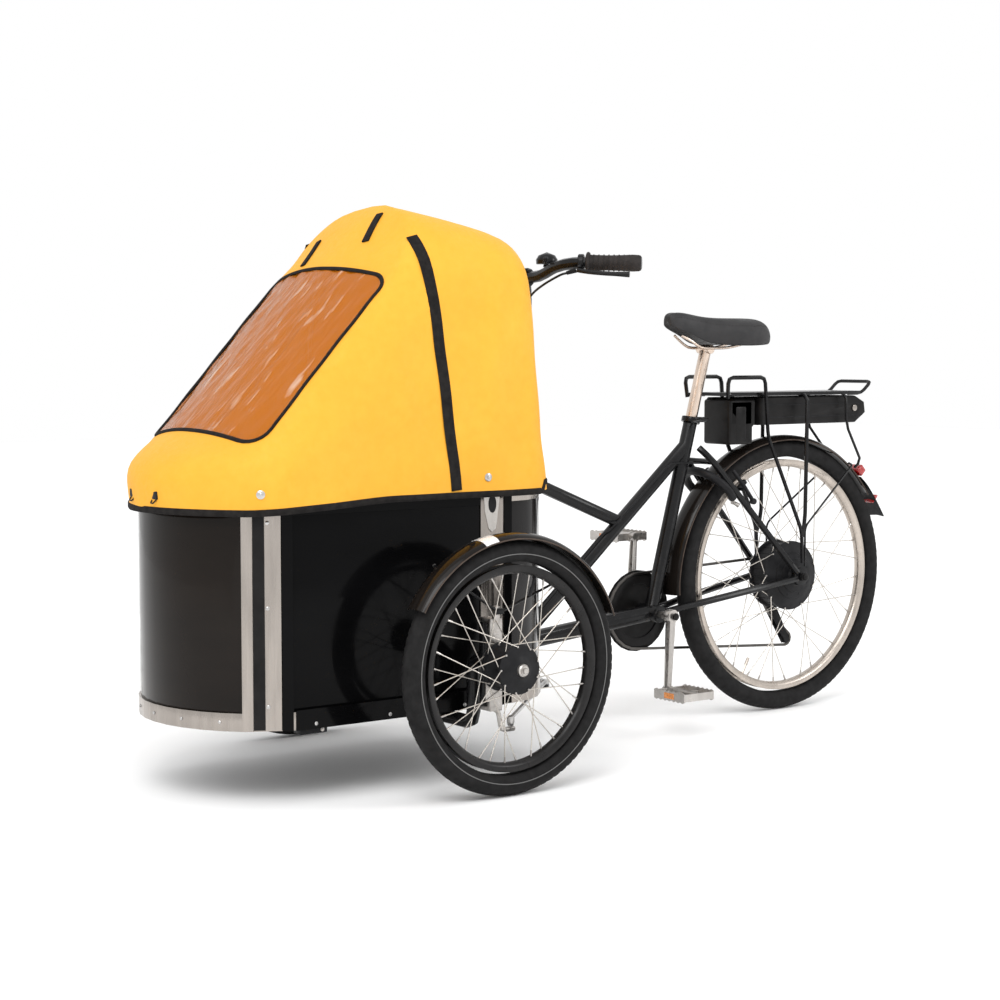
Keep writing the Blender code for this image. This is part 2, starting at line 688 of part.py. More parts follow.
def steering():
    pivot("steering", (STEER_X, 0, HEAD_HIGH))
    column = turned([(LINKAGE_Z - 0.006, 0.0), (LINKAGE_Z - 0.006, COLUMN_RADIUS),
                     (HEAD_HIGH + 0.001, COLUMN_RADIUS), (HEAD_HIGH + 0.001, 0.0190),
                     (HEAD_HIGH + 0.014, 0.0190), (HEAD_HIGH + 0.014, 0.0150),
                     (0.985, 0.0150), (0.985, 0.0)], 12, (STEER_X, 0, 0), "z", closed=False)
    ball_x, ball_y = ARM_BALL
    arm = plate([(0.012, 0.0), (0.004, 0.016), (ball_x, ball_y + 0.009), (ball_x - 0.010, ball_y),
                 (ball_x - 0.010, -ball_y), (ball_x, -ball_y - 0.009), (0.004, -0.016)],
                "z", LINKAGE_Z - 0.004, LINKAGE_Z + 0.003)
    bmesh.ops.translate(arm, vec=(STEER_X, 0, 0), verts=arm.verts)
    # the stem reaches up and slightly forward to the bar clamp
    stem = tube(rounded([(STEER_X, 0, 0.960), (STEER_X, 0, 1.012), (STEER_X + 0.010, 0, 1.030)],
                        0.03, 2), 0.0145, 10)
    clamp = rod((STEER_X + 0.010, -0.024, 1.030), (STEER_X + 0.010, 0.024, 1.030), 0.0205, 12)
    bore = rod((STEER_X + 0.010, -0.04, 1.030), (STEER_X + 0.010, 0.04, 1.030), 0.0132, 12)
    weld("steering_column", [column, arm, stem, clamp], PAINT, "steering", cuts=[bore])

    bar = tube(bar_path(), 0.0127, 8)
    weld("handlebar", [bar] + lever_bracket(1) + lever_bracket(-1), PAINT, "steering")
    for word, side in (("left", 1), ("right", -1)):
        tie_rod(word, side)
        brake_lever(word, side)
    grips()
    bell()
    twist_shifter()


def bar_half(side):
    x = STEER_X + 0.010
    return [(x, 0.0, 1.030), (x, side * 0.068, 1.030), (x + 0.004, side * 0.125, 1.050),
            (x - 0.004, side * 0.175, 1.057), (x - 0.105, side * 0.281, 1.055)]


def bar_path():
    left = bar_half(1)
    right = bar_half(-1)
    return rounded(list(reversed(right))[:-1] + left[1:], 0.040, 2)


def bar_point(side, distance):
    """A point on the bar's straight end, measured inwards from its tip, and its direction."""
    start, end = Vector(bar_half(side)[-2]), Vector(bar_half(side)[-1])
    along = (start - end).normalized()
    return end + along * distance, along


def sleeve(side, near, far, radius, bore, sides=12):
    """A ring on the straight end of the bar between two distances from its tip."""
    start, along = bar_point(side, near)
    end, _ = bar_point(side, far)
    length = (end - start).length
    bm = turned([(0.0, radius), (length, radius), (length, bore), (0.0, bore)], sides,
                (0, 0, 0), "x")
    turn = Vector((1, 0, 0)).rotation_difference(along).to_matrix().to_4x4()
    bmesh.ops.transform(bm, matrix=Matrix.Translation(start) @ turn, verts=bm.verts)
    return bm


BAR_BORE = 0.0127 + 0.0006


def grips():
    finish("grip_left", sleeve(1, 0.001, 0.118, 0.0165, BAR_BORE), GRIP_RUBBER, "steering")
    finish("grip_right", sleeve(-1, 0.001, 0.084, 0.0165, BAR_BORE), GRIP_RUBBER, "steering")


def lever_bracket(side):
    """The brake lever's clamp and the lug that holds its pivot."""
    ring = sleeve(side, 0.1235, 0.1335, 0.0185, 0.0120)
    place, _ = bar_point(side, 0.1285)
    ahead = lever_direction(side)
    return [ring, rod(place + ahead * 0.0150, place + ahead * 0.0290, 0.0065, 8)]


def lever_direction(side):
    """From the bar towards the lever: forward, outward and a little down."""
    _, along = bar_point(side, 0)
    flat = Vector((along.x, along.y, 0)).normalized()
    ahead = Vector((flat.y * -side, flat.x * side, 0)) * -1
    if ahead.x < 0:
        ahead = -ahead
    return (ahead + Vector((0, 0, -0.55))).normalized()


def brake_lever(word, side):
    place, along = bar_point(side, 0.1285)
    ahead = lever_direction(side)
    root = place + ahead * 0.0345
    pivot(f"brake_lever_{word}", root, "steering")
    outward = -along
    path = rounded([root + along * 0.004, root + outward * 0.020 + ahead * 0.008,
                    root + outward * 0.060 + ahead * 0.015, root + outward * 0.108 + ahead * 0.018],
                   0.02, 2)
    radii = [0.0050] * (len(path) - 1) + [0.0065]
    finish(f"brake_lever_{word}", tube(path, radii, 8), PAINT, f"brake_lever_{word}")


def bell():
    centre = (STEER_X - 0.002, 0.075, 1.067)
    dome = turned([(-0.010, 0.0), (-0.010, 0.0225), (0.000, 0.0235), (0.009, 0.0180),
                   (0.016, 0.0)], 14, centre, "z", closed=False)
    foot = rod((centre[0] + 0.004, centre[1] + 0.001, centre[2] - 0.0165),
               (centre[0], centre[1], centre[2] - 0.008), 0.0060, 8)
    weld("bell", [dome, foot], PAINT, "steering")


def twist_shifter():
    ring = sleeve(-1, 0.0860, 0.1215, 0.0185, BAR_BORE, 14)
    place, _ = bar_point(-1, 0.104)
    pivot("twist_shifter", place, "steering")
    finish("twist_shifter", ring, PLASTIC, "twist_shifter")


def tie_rod(word, side):
    start = Vector((STEER_X + ARM_BALL[0], side * ARM_BALL[1], LINKAGE_Z))
    end = Vector((WHEELBASE + ARM_BALL[0], side * (KINGPIN_Y + ARM_BALL[1]), LINKAGE_Z))
    pivot(f"tie_rod_{word}", start, "steering")
    lift = Vector((0, 0, 0.0095))
    shapes = [rod(start + lift, end + lift, 0.0045, 8),
              turned([(0.0045, 0.0), (0.0045, 0.0080), (0.0145, 0.0080), (0.0145, 0.0)], 12,
                     start, "z", closed=False),
              turned([(-0.0050, 0.0), (-0.0050, 0.0060), (0.0030, 0.0080), (0.0145, 0.0080),
                      (0.0145, 0.0)], 12, end, "z", closed=False)]
    weld(f"tie_rod_{word}", shapes, RAW_STEEL, f"tie_rod_{word}")


# ---------------------------------------------------------------- drive
def crankset():
    centre = BOTTOM_BRACKET
    pivot("crankset", centre)
    down = Vector((math.sin(CRANK_TILT), 0, -math.cos(CRANK_TILT)))

    def crank(side):
        root = centre + Vector((0, side * 0.0720, 0))
        tip = root + down * (CRANK_LENGTH * side) + Vector((0, side * 0.010, 0))
        arm = tube([root, tip], [0.0120, 0.0085], 8)
        boss = rod(root - Vector((0, 0.010, 0)), root + Vector((0, 0.010, 0)), 0.0155, 10)
        eye = rod(tip - Vector((0, 0.008, 0)), tip + Vector((0, 0.008, 0)), 0.0115, 10)
        return [arm, boss, eye], tip

    left, left_tip = crank(1)
    right, right_tip = crank(-1)
    axle = rod(centre - Vector((0, 0.075, 0)), centre + Vector((0, 0.075, 0)), 0.0082, 10)
    drills = [rod(tip - Vector((0, 0.03, 0)), tip + Vector((0, 0.03, 0)), 0.0055, 10)
              for tip in (left_tip, right_tip)]
    weld("crank_arms", [axle] + left + right, ALUMINIUM, "crankset", cuts=drills)

    ring = [(CHAIN_Y - 0.0040, 0.0088), (CHAIN_Y - 0.0040, RING_RADIUS + 0.0065),
            (CHAIN_Y - 0.0052, RING_RADIUS + 0.0065), (CHAIN_Y - 0.0065, 0.0600),
            (CHAIN_Y - 0.0075, 0.0200), (CHAIN_Y - 0.0075, 0.0088)]
    wheel = [(CHAIN_Y - 0.0046, RING_RADIUS - 0.0250), (CHAIN_Y - 0.0046, RING_RADIUS - 0.0042),
             (CHAIN_Y + 0.0010, RING_RADIUS - 0.0042), (CHAIN_Y + 0.0010, RING_RADIUS - 0.0250)]
    weld("chainring", [turned(ring, 24, centre), turned(wheel, 24, centre)], PAINT, "crankset")
    pedal("left", 1, left_tip)
    pedal("right", -1, right_tip)


def pedal(word, side, tip):
    pivot(f"pedal_{word}", tip, "crankset")
    middle = tip + Vector((0, side * 0.066, 0))
    body = slab(middle - Vector((0.046, 0.042, 0.0120)), middle + Vector((0.046, 0.042, 0.0120)),
                0.006)
    spindle = rod(tip - Vector((0, side * 0.007, 0)), middle, 0.0051, 10)
    weld(f"pedal_{word}", [body, spindle], PLASTIC, f"pedal_{word}")


GUIDE_WHEEL = Vector((-0.012, CHAIN_Y, 0.2450))
TENSION_WHEEL = Vector((-0.058, CHAIN_Y, 0.1620))
JOCKEY_RADIUS = 0.0170


def arc_points(centre, radius, start, end, steps):
    """Points round a sprocket, angles in degrees in the X-Z plane."""
    return [(centre[0] + radius * math.cos(math.radians(start + (end - start) * i / steps)),
             centre[2] + radius * math.sin(math.radians(start + (end - start) * i / steps)))
            for i in range(steps + 1)]


def chain():
    """The chain as one endless strap: chainwheel, sprocket, then the two jockey wheels."""
    cog = (0.0, CHAIN_Y, AXLE_Z)
    path = (arc_points(BOTTOM_BRACKET, RING_RADIUS, -92, 96, 12)
            + arc_points(cog, SPROCKET_RADIUS, 97, 232, 7)
            + arc_points(GUIDE_WHEEL, JOCKEY_RADIUS, 62, -62, 4)
            + arc_points(TENSION_WHEEL, JOCKEY_RADIUS, 118, 268, 5))
    bm = bmesh.new()
    half_width, half_depth = 0.0040, 0.0030
    rows = []
    count = len(path)
    for i, (x, z) in enumerate(path):
        ahead, behind = path[(i + 1) % count], path[i - 1]
        tangent = Vector((ahead[0] - behind[0], 0, ahead[1] - behind[1])).normalized()
        out = Vector((tangent.z, 0, -tangent.x))
        centre = Vector((x, CHAIN_Y + 0.0001, z))
        rows.append([bm.verts.new(centre + out * a + Vector((0, b, 0)))
                     for a, b in ((-half_depth, 0.0008 - half_width),
                                  (half_depth, 0.0008 - half_width),
                                  (half_depth, half_width), (-half_depth, half_width))])
    for i in range(count):
        low, high = rows[i], rows[(i + 1) % count]
        for k in range(4):
            n = (k + 1) % 4
            bm.faces.new((low[k], low[n], high[n], high[k]))
    finish("chain", bm, RAW_STEEL)


def cassette():
    pivot("cassette", (0, CHAIN_Y, AXLE_Z), "datum")
    centre = (0, 0, AXLE_Z)
    profile = [(-0.0575, 0.0068), (-0.0575, 0.0180), (CHAIN_Y - 0.0090, 0.0230),
               (CHAIN_Y - 0.0032, 0.0230), (CHAIN_Y - 0.0010, SPROCKET_RADIUS - 0.0040),
               (CHAIN_Y + 0.0010, SPROCKET_RADIUS - 0.0040), (CHAIN_Y + 0.0032, 0.0230),
               (-0.0352, 0.0280), (-0.0352, 0.0068)]
    finish("cassette", turned(profile, 20, centre), RAW_STEEL, "cassette")


def derailleur():
    """Hanger and body fixed to the dropout; the cage swings about its upper pivot."""
    outer = CHAIN_Y - 0.0120
    shapes = [
        plate([(-0.006, AXLE_Z - 0.0228), (0.010, AXLE_Z - 0.0228), (0.004, AXLE_Z - 0.046),
               (-0.010, AXLE_Z - 0.046)], "y", -0.0720, -0.0662),
        rod((-0.003, -0.0720, AXLE_Z - 0.040), (-0.003, -0.0560, AXLE_Z - 0.040), 0.0080, 10),
        rod((-0.003, -0.0600, AXLE_Z - 0.042),
            (GUIDE_WHEEL.x - 0.014, -0.0600, GUIDE_WHEEL.z + 0.010), 0.0085, 8),
        rod((GUIDE_WHEEL.x - 0.014, -0.0640, GUIDE_WHEEL.z + 0.010),
            (GUIDE_WHEEL.x - 0.014, outer - 0.0005, GUIDE_WHEEL.z + 0.010), 0.0090, 10),
    ]
    weld("derailleur", shapes, PLASTIC)

    hinge = Vector((GUIDE_WHEEL.x - 0.014, CHAIN_Y, GUIDE_WHEEL.z + 0.010))
    pivot("derailleur_cage", hinge)
    wheels = [turned([(-0.0012, 0.0), (-0.0012, JOCKEY_RADIUS - 0.0045),
                      (0.0012, JOCKEY_RADIUS - 0.0045), (0.0012, 0.0)], 14, place, "y",
                     closed=False) for place in (GUIDE_WHEEL, TENSION_WHEEL)]
    down = (TENSION_WHEEL - GUIDE_WHEEL).normalized()
    across = Vector((down.z, 0, -down.x))
    corners = [GUIDE_WHEEL - down * 0.012 + across * 0.008,
               GUIDE_WHEEL - down * 0.012 - across * 0.016,
               TENSION_WHEEL + down * 0.011 - across * 0.008,
               TENSION_WHEEL + down * 0.011 + across * 0.008]
    outline = [(p.x, p.z) for p in corners]
    plates = [plate(outline, "y", CHAIN_Y - 0.0085, CHAIN_Y - 0.0062),
              plate(outline, "y", CHAIN_Y + 0.0062, CHAIN_Y + 0.0082)]
    axles = [rod(place - Vector((0, 0.0075, 0)), place + Vector((0, 0.0075, 0)), 0.0030, 8)
             for place in (GUIDE_WHEEL, TENSION_WHEEL)]
    weld("derailleur_cage", plates + wheels + axles, PLASTIC, "derailleur_cage")


# ---------------------------------------------------------------- seat
def seat():
    pivot("seat_height", seat_axis(0.720))
    up = (seat_axis(1.0) - seat_axis(0.0)).normalized()
    low, high = seat_axis(0.520), seat_axis(0.868)
    post = rod(low, high, SEATPOST_RADIUS, 16)
    yoke = rod(high + Vector((0, -0.021, 0.006)), high + Vector((0, 0.021, 0.006)), 0.0110, 12)

    def rail():
        y = 0.0215
        return tube(rounded([(0.335, 0.012, 0.9050), (0.310, y, 0.892), (0.285, y, 0.8765),
                             (0.200, y, 0.8765), (0.140, 0.028, 0.889)], 0.02, 2), 0.0035, 6)
    weld("seatpost", [post, yoke, rail(), mirrored(rail())], SEAT_TUBE_METAL, "seat_height")

    # saddle outline: raised nose in front, broad deep tail, dished along its length and hollow below
    stations = [(0.372, 0.011, 0.950, 0.020), (0.362, 0.021, 0.958, 0.036),
                (0.338, 0.026, 0.959, 0.045), (0.310, 0.030, 0.955, 0.050),
                (0.280, 0.037, 0.950, 0.062), (0.245, 0.052, 0.947, 0.064),
                (0.205, 0.074, 0.947, 0.066), (0.165, 0.088, 0.947, 0.066),
                (0.130, 0.088, 0.945, 0.063), (0.108, 0.074, 0.937, 0.050)]
    bm = bmesh.new()
    rows = []
    for x, half, top, depth in stations:
        section = [(0, 0), (half * 0.55, -0.002), (half * 0.9, -depth * 0.30), (half, -depth * 0.65),
                   (half * 0.86, -depth), (0, -depth * 0.62)]
        ring = section + [(-y, z) for y, z in reversed(section[1:-1])]
        rows.append([bm.verts.new((x, y, top + z)) for y, z in ring])
    for low_row, high_row in zip(rows, rows[1:]):
        for k in range(len(low_row)):
            n = (k + 1) % len(low_row)
            bm.faces.new((low_row[k], low_row[n], high_row[n], high_row[k]))
    bm.faces.new(rows[0])
    bm.faces.new(rows[-1])
    finish("saddle", bm, SADDLE_COVER, "seat_height")
    seat_clamp(up)


def seat_clamp(up):
    centre = seat_axis(0.7085)
    collar = turned([(-0.0060, 0.0172), (-0.0060, 0.0220), (0.0060, 0.0220), (0.0060, 0.0172)],
                    16, (0, 0, 0), "x")
    turn = Vector((1, 0, 0)).rotation_difference(up).to_matrix().to_4x4()
    bmesh.ops.transform(collar, matrix=Matrix.Translation(centre) @ turn, verts=collar.verts)
    ears = slab(centre + Vector((-0.036, -0.011, -0.005)), centre + Vector((-0.0205, 0.011, 0.007)))
    skewer = rod(centre + Vector((-0.030, -0.020, 0.001)), centre + Vector((-0.030, 0.0220, 0.001)),
                 0.0045, 8)
    weld("seat_clamp", [collar, ears, skewer], PAINT)
    hinge = centre + Vector((-0.030, 0.0266, 0.001))
    pivot("seat_clamp_lever", hinge)
    lever = tube(rounded([hinge + Vector((-0.0005, 0, 0)), hinge + Vector((0.014, 0.001, 0.001)),
                          hinge + Vector((0.052, 0.004, -0.004))], 0.01, 2), 0.0034, 8)
    finish("seat_clamp_lever", lever, PAINT, "seat_clamp_lever")


# ---------------------------------------------------------------- rear carrier and battery
RACK_HALF = 0.060
LEG_Y = 0.0760


def rack():
    deck = slab((-0.205, -RACK_HALF, RACK_TOP - 0.008), (0.222, RACK_HALF, RACK_TOP))

    def hoop():
        return tube(rounded([(0.243, LEG_Y - 0.006, RACK_TOP - 0.012), (0.246, LEG_Y, 0.808),
                             (0.130, LEG_Y, 0.808), (0.118, LEG_Y, 0.668),
                             (0.008, LEG_Y + 0.003, 0.440), (0.004, LEG_Y + 0.003, 0.362)],
                            0.014, 2), 0.0050, 6)

    def front_tie():
        return rod((0.243, LEG_Y - 0.006, RACK_TOP - 0.0056), (0.205, 0.050, RACK_TOP - 0.0056),
                   0.0046, 6)

    def leg():
        return tube(rounded([(-0.010, 0.050, RACK_TOP - 0.006), (-0.010, LEG_Y, RACK_TOP - 0.008),
                             (-0.006, LEG_Y, 0.470), (0.006, LEG_Y + 0.003, 0.425)], 0.012, 1),
                    0.0050, 6)

    def hoop_tie():
        return rod((0.1275, LEG_Y, RACK_TOP - 0.005), (0.1275, 0.050, RACK_TOP - 0.005), 0.0046, 6)

    def rear_stay():
        return tube(rounded([(-0.150, 0.050, RACK_TOP - 0.005), (-0.150, 0.067, RACK_TOP - 0.010),
                             (-0.152, 0.067, 0.690), (-0.222, 0.050, 0.598),
                             (-0.216, 0.0345, 0.582)], 0.014, 1), 0.0036, 6)

    loop = tube(rounded([(-0.170, -0.052, RACK_TOP - 0.0056), (-0.214, -0.056, RACK_TOP - 0.0056),
                         (-0.247, -0.056, 0.794), (-0.247, 0.056, 0.794),
                         (-0.214, 0.056, RACK_TOP - 0.0056), (-0.170, 0.052, RACK_TOP - 0.0056)],
                        0.012, 2), 0.0045, 6)
    shapes = [deck, loop]
    for make in (hoop, front_tie, leg, hoop_tie, rear_stay):
        shapes += [make(), mirrored(make())]
    weld("rack", shapes, PAINT)


BATTERY_LOW, BATTERY_HIGH = 0.694, 0.7605


def battery():
    pivot("battery", (-0.05, 0, 0.725))
    low, high, half = BATTERY_LOW, BATTERY_HIGH, 0.0500
    side = [(0.118, low), (0.118, high), (-0.205, high), (-0.236, high - 0.016),
            (-0.240, high - 0.042), (-0.205, low)]
    bm = bmesh.new()
    rows = []
    for y, inset in ((-half, 0.006), (-half + 0.012, 0.0), (half - 0.012, 0.0), (half, 0.006)):
        middle = Vector((-0.05, y, (low + high) / 2))
        row = []
        for x, z in side:
            spot = Vector((x, y, z))
            row.append(bm.verts.new(spot + (middle - spot).normalized() * inset))
        rows.append(row)
    for a, b in zip(rows, rows[1:]):
        for k in range(len(side)):
            n = (k + 1) % len(side)
            bm.faces.new((a[k], a[n], b[n], b[k]))
    bm.faces.new(rows[0])
    bm.faces.new(rows[-1])
    item = finish("battery", bm, PLASTIC, "battery")
    hole = hidden("battery_lock_hole", rod((-0.196, 0.030, 0.730), (-0.196, 0.060, 0.730),
                                           0.0084, 12), "battery")
    boolean(item, [hole], "DIFFERENCE")
    pivot("battery_lock", (-0.196, 0.045, 0.730), "battery")
    finish("battery_lock", rod((-0.196, 0.0305, 0.730), (-0.196, 0.0530, 0.730), 0.0080, 12),
           ALUMINIUM, "battery_lock")
    housing = slab((0.126, -0.046, 0.690), (0.214, 0.046, 0.7605), 0.008)
    lower = slab((0.145, -0.040, 0.652), (0.206, 0.040, 0.700), 0.008)
    weld("controller_housing", [housing, lower], PLASTIC)


# ---------------------------------------------------------------- rear mudguard and light
def guard_radius(angle):
    """Close to the tyre from the top backwards, standing off in front."""
    ahead = max(0.0, 1.0 - angle / 85.0)
    return 0.3380 + 0.0225 * ahead ** 1.3


def rear_mudguard():
    half, depth = 0.0300, 0.0100
    outer = [(-half, -depth), (-half * 0.75, -0.002), (0, 0.0015), (half * 0.75, -0.002),
             (half, -depth)]
    section = outer + [(y * 0.94, rise - 0.0022) for y, rise in reversed(outer)]
    bm = bmesh.new()
    rows = []
    steps = 15
    for i in range(steps + 1):
        degrees = -4 + 150 * i / steps
        angle = math.radians(degrees)
        radius = guard_radius(degrees)
        rows.append([bm.verts.new((math.cos(angle) * (radius + rise), y,
                                   AXLE_Z + math.sin(angle) * (radius + rise)))
                     for y, rise in section])
    for low, high in zip(rows, rows[1:]):
        for k in range(len(section)):
            n = (k + 1) % len(section)
            bm.faces.new((low[k], low[n], high[n], high[k]))
    bm.faces.new(rows[0])
    bm.faces.new(rows[-1])

    def stay():
        tip = Vector((math.cos(math.radians(128)) * 0.336, 0.034,
                      AXLE_Z + math.sin(math.radians(128)) * 0.336))
        return tube(rounded([tip - Vector((0, 0.010, 0)), tip + Vector((0.004, 0.006, -0.004)),
                             (-0.016, 0.0665, 0.447), (-0.0165, 0.0665, 0.352)], 0.012, 2),
                    0.0026, 6)
    flap = plate([(-0.2500, 0.5490), (-0.2550, 0.5530), (-0.3340, 0.4560), (-0.3295, 0.4530)],
                 "y", -0.0265, 0.0265)
    weld("rear_mudguard", [bm, flap, stay(), mirrored(stay())], FENDER)
    light = slab((-0.012, -0.026, -0.012), (0.012, 0.026, 0.012), 0.004)
    angle = math.radians(136)
    radial = Vector((math.cos(angle), 0, math.sin(angle)))
    place = Vector((0, 0, AXLE_Z)) + radial * (guard_radius(136) + 0.0145)
    turn = Matrix.Rotation(math.pi / 2 - angle, 4, "Y")
    bmesh.ops.transform(light, matrix=Matrix.Translation(place) @ turn, verts=light.verts)
    finish("rear_light", light, LENS)


# ---------------------------------------------------------------- locks and rim brake
LOCK_ANGLE = math.radians(43.0)


def ring_lock():
    """A frame lock round the tyre: a fixed horseshoe and a curved bolt that closes it."""
    radial = Vector((math.cos(LOCK_ANGLE), 0, math.sin(LOCK_ANGLE)))
    lock_middle = Vector((0, 0, AXLE_Z)) + radial * 0.3200

    def around(radius, start, end, steps):
        points = []
        for i in range(steps + 1):
            angle = math.radians(start + (end - start) * i / steps)
            points.append(lock_middle + radial * (radius * math.cos(angle))
                          + Vector((0, 1, 0)) * (radius * math.sin(angle)))
        return points

    finish("ring_lock", tube(around(0.0640, -118, 118, 12), 0.0105, 8), PLASTIC)
    pivot("ring_lock_bolt", lock_middle)
    arc = around(0.0640, 123, 139, 4)
    knob = [arc[3], arc[3] + (arc[3] - lock_middle).normalized() * 0.017]
    weld("ring_lock_bolt", [tube(arc, 0.0050, 8), tube(knob, [0.0040, 0.0060], 8)], ALUMINIUM,
         "ring_lock_bolt")


def rim_brake():
    """Two arms behind the seat stays, with pads beside the rim's flanks."""
    angle = math.radians(52.5)
    radial = Vector((math.cos(angle), 0, math.sin(angle)))
    axle = Vector((0, 0, AXLE_Z))
    for word, side in (("left", 1), ("right", -1)):
        def at(radius, y):
            return axle + radial * radius + Vector((0, side * y, 0))

        pivot(f"rim_brake_{word}", at(0.236, 0.054))
        pad = slab((-0.005, -0.0045, -0.030), (0.005, 0.0045, 0.030))
        turn = Matrix.Rotation(-angle, 4, "Y")
        bmesh.ops.transform(pad, matrix=Matrix.Translation(at(0.2715, 0.0235)) @ turn,
                            verts=pad.verts)
        shapes = [rod(at(0.236, 0.0490), at(0.236, 0.0590), 0.0075, 8),
                  tube([at(0.236, 0.054), at(0.290, 0.052), at(0.330, 0.044)], 0.0055, 6),
                  rod(at(0.2715, 0.0255), at(0.2715, 0.0560), 0.0040, 6), pad]
        weld(f"rim_brake_{word}", shapes, PLASTIC, f"rim_brake_{word}")


# ---------------------------------------------------------------- cables
def brake_cable():
    """The rear brake's cable, which the frame holds all the way."""
    down_start = seat_axis(0.650)
    down_end = Vector((STEER_X, 0, 0.245))

    def along_down(part, lift, y):
        point = down_start.lerp(down_end, part)
        return point + Vector((0.66, 0, 0.75)) * lift + Vector((0, y, 0))

    rear = tube(rounded([along_down(0.90, 0.021, 0.007), along_down(0.52, 0.021, 0.007),
                         along_down(0.48, 0.019, 0.020), along_down(0.12, 0.014, 0.022),
                         (0.296, 0.034, 0.610)], 0.02, 2), 0.0025, 6)
    finish("brake_cable", rear, PLASTIC)


# ---------------------------------------------------------------- build
def build():
    main_frame()
    rear_stays()
    axle_beam()
    box()
    canopy()
    canopy_hoops()
    for word, side in (("left", 1), ("right", -1)):
        knuckle(word, side)
        front_fender(word, side)
        front_wheel(word, side)
    steering()
    rear_wheel()
    crankset()
    chain()
    cassette()
    derailleur()
    seat()
    rack()
    battery()
    rear_mudguard()
    ring_lock()
    rim_brake()
    brake_cable()


build()
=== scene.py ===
"""Looks of the cargo bicycle: materials, fabric, wheels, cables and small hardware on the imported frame."""
import json
import math

import bmesh
import bpy
import numpy as np
from mathutils import Matrix, Vector
from mathutils.bvhtree import BVHTree


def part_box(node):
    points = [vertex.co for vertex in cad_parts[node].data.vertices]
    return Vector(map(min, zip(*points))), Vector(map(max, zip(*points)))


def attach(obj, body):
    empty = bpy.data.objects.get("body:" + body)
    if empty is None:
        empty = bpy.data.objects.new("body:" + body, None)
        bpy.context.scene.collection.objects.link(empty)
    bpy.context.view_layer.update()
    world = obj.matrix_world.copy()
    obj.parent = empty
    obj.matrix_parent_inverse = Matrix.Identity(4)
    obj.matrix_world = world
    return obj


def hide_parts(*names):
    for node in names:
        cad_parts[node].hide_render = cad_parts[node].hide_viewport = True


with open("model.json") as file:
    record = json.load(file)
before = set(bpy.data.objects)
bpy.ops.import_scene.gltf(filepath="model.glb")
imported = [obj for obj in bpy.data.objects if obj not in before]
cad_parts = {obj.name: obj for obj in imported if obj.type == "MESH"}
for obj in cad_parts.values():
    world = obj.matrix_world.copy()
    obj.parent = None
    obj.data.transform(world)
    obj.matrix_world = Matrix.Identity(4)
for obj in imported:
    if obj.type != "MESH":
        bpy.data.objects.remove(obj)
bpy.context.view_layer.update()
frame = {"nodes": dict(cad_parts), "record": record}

# Lengths are metres from the point where the rear tyre meets the ground.
ORIGIN = Vector((-0.6815, 0.0, 0.0))
WHEELBASE = 1.118
HALF_TRACK = 0.400
FRONT_AXLE_Z = 0.252
REAR_AXLE_Z = 0.328
STEER_X = 0.780
BOTTOM_BRACKET = Vector((0.415, 0.0, 0.265))
CANOPY_HEM = 0.585
BOX_HALF_WIDTH = 0.242
SPOKES = 36
FRONT_TYRE = 0.252
REAR_TYRE = 0.328
FRONT_RIM = 0.2075
REAR_RIM = 0.2835
FRONT_GUARD = 0.2660
GUARD_HALF_WIDTH = 0.0290
REAR_GUARD_HALF_WIDTH = 0.0300
SIDES = (("left", 1), ("right", -1))


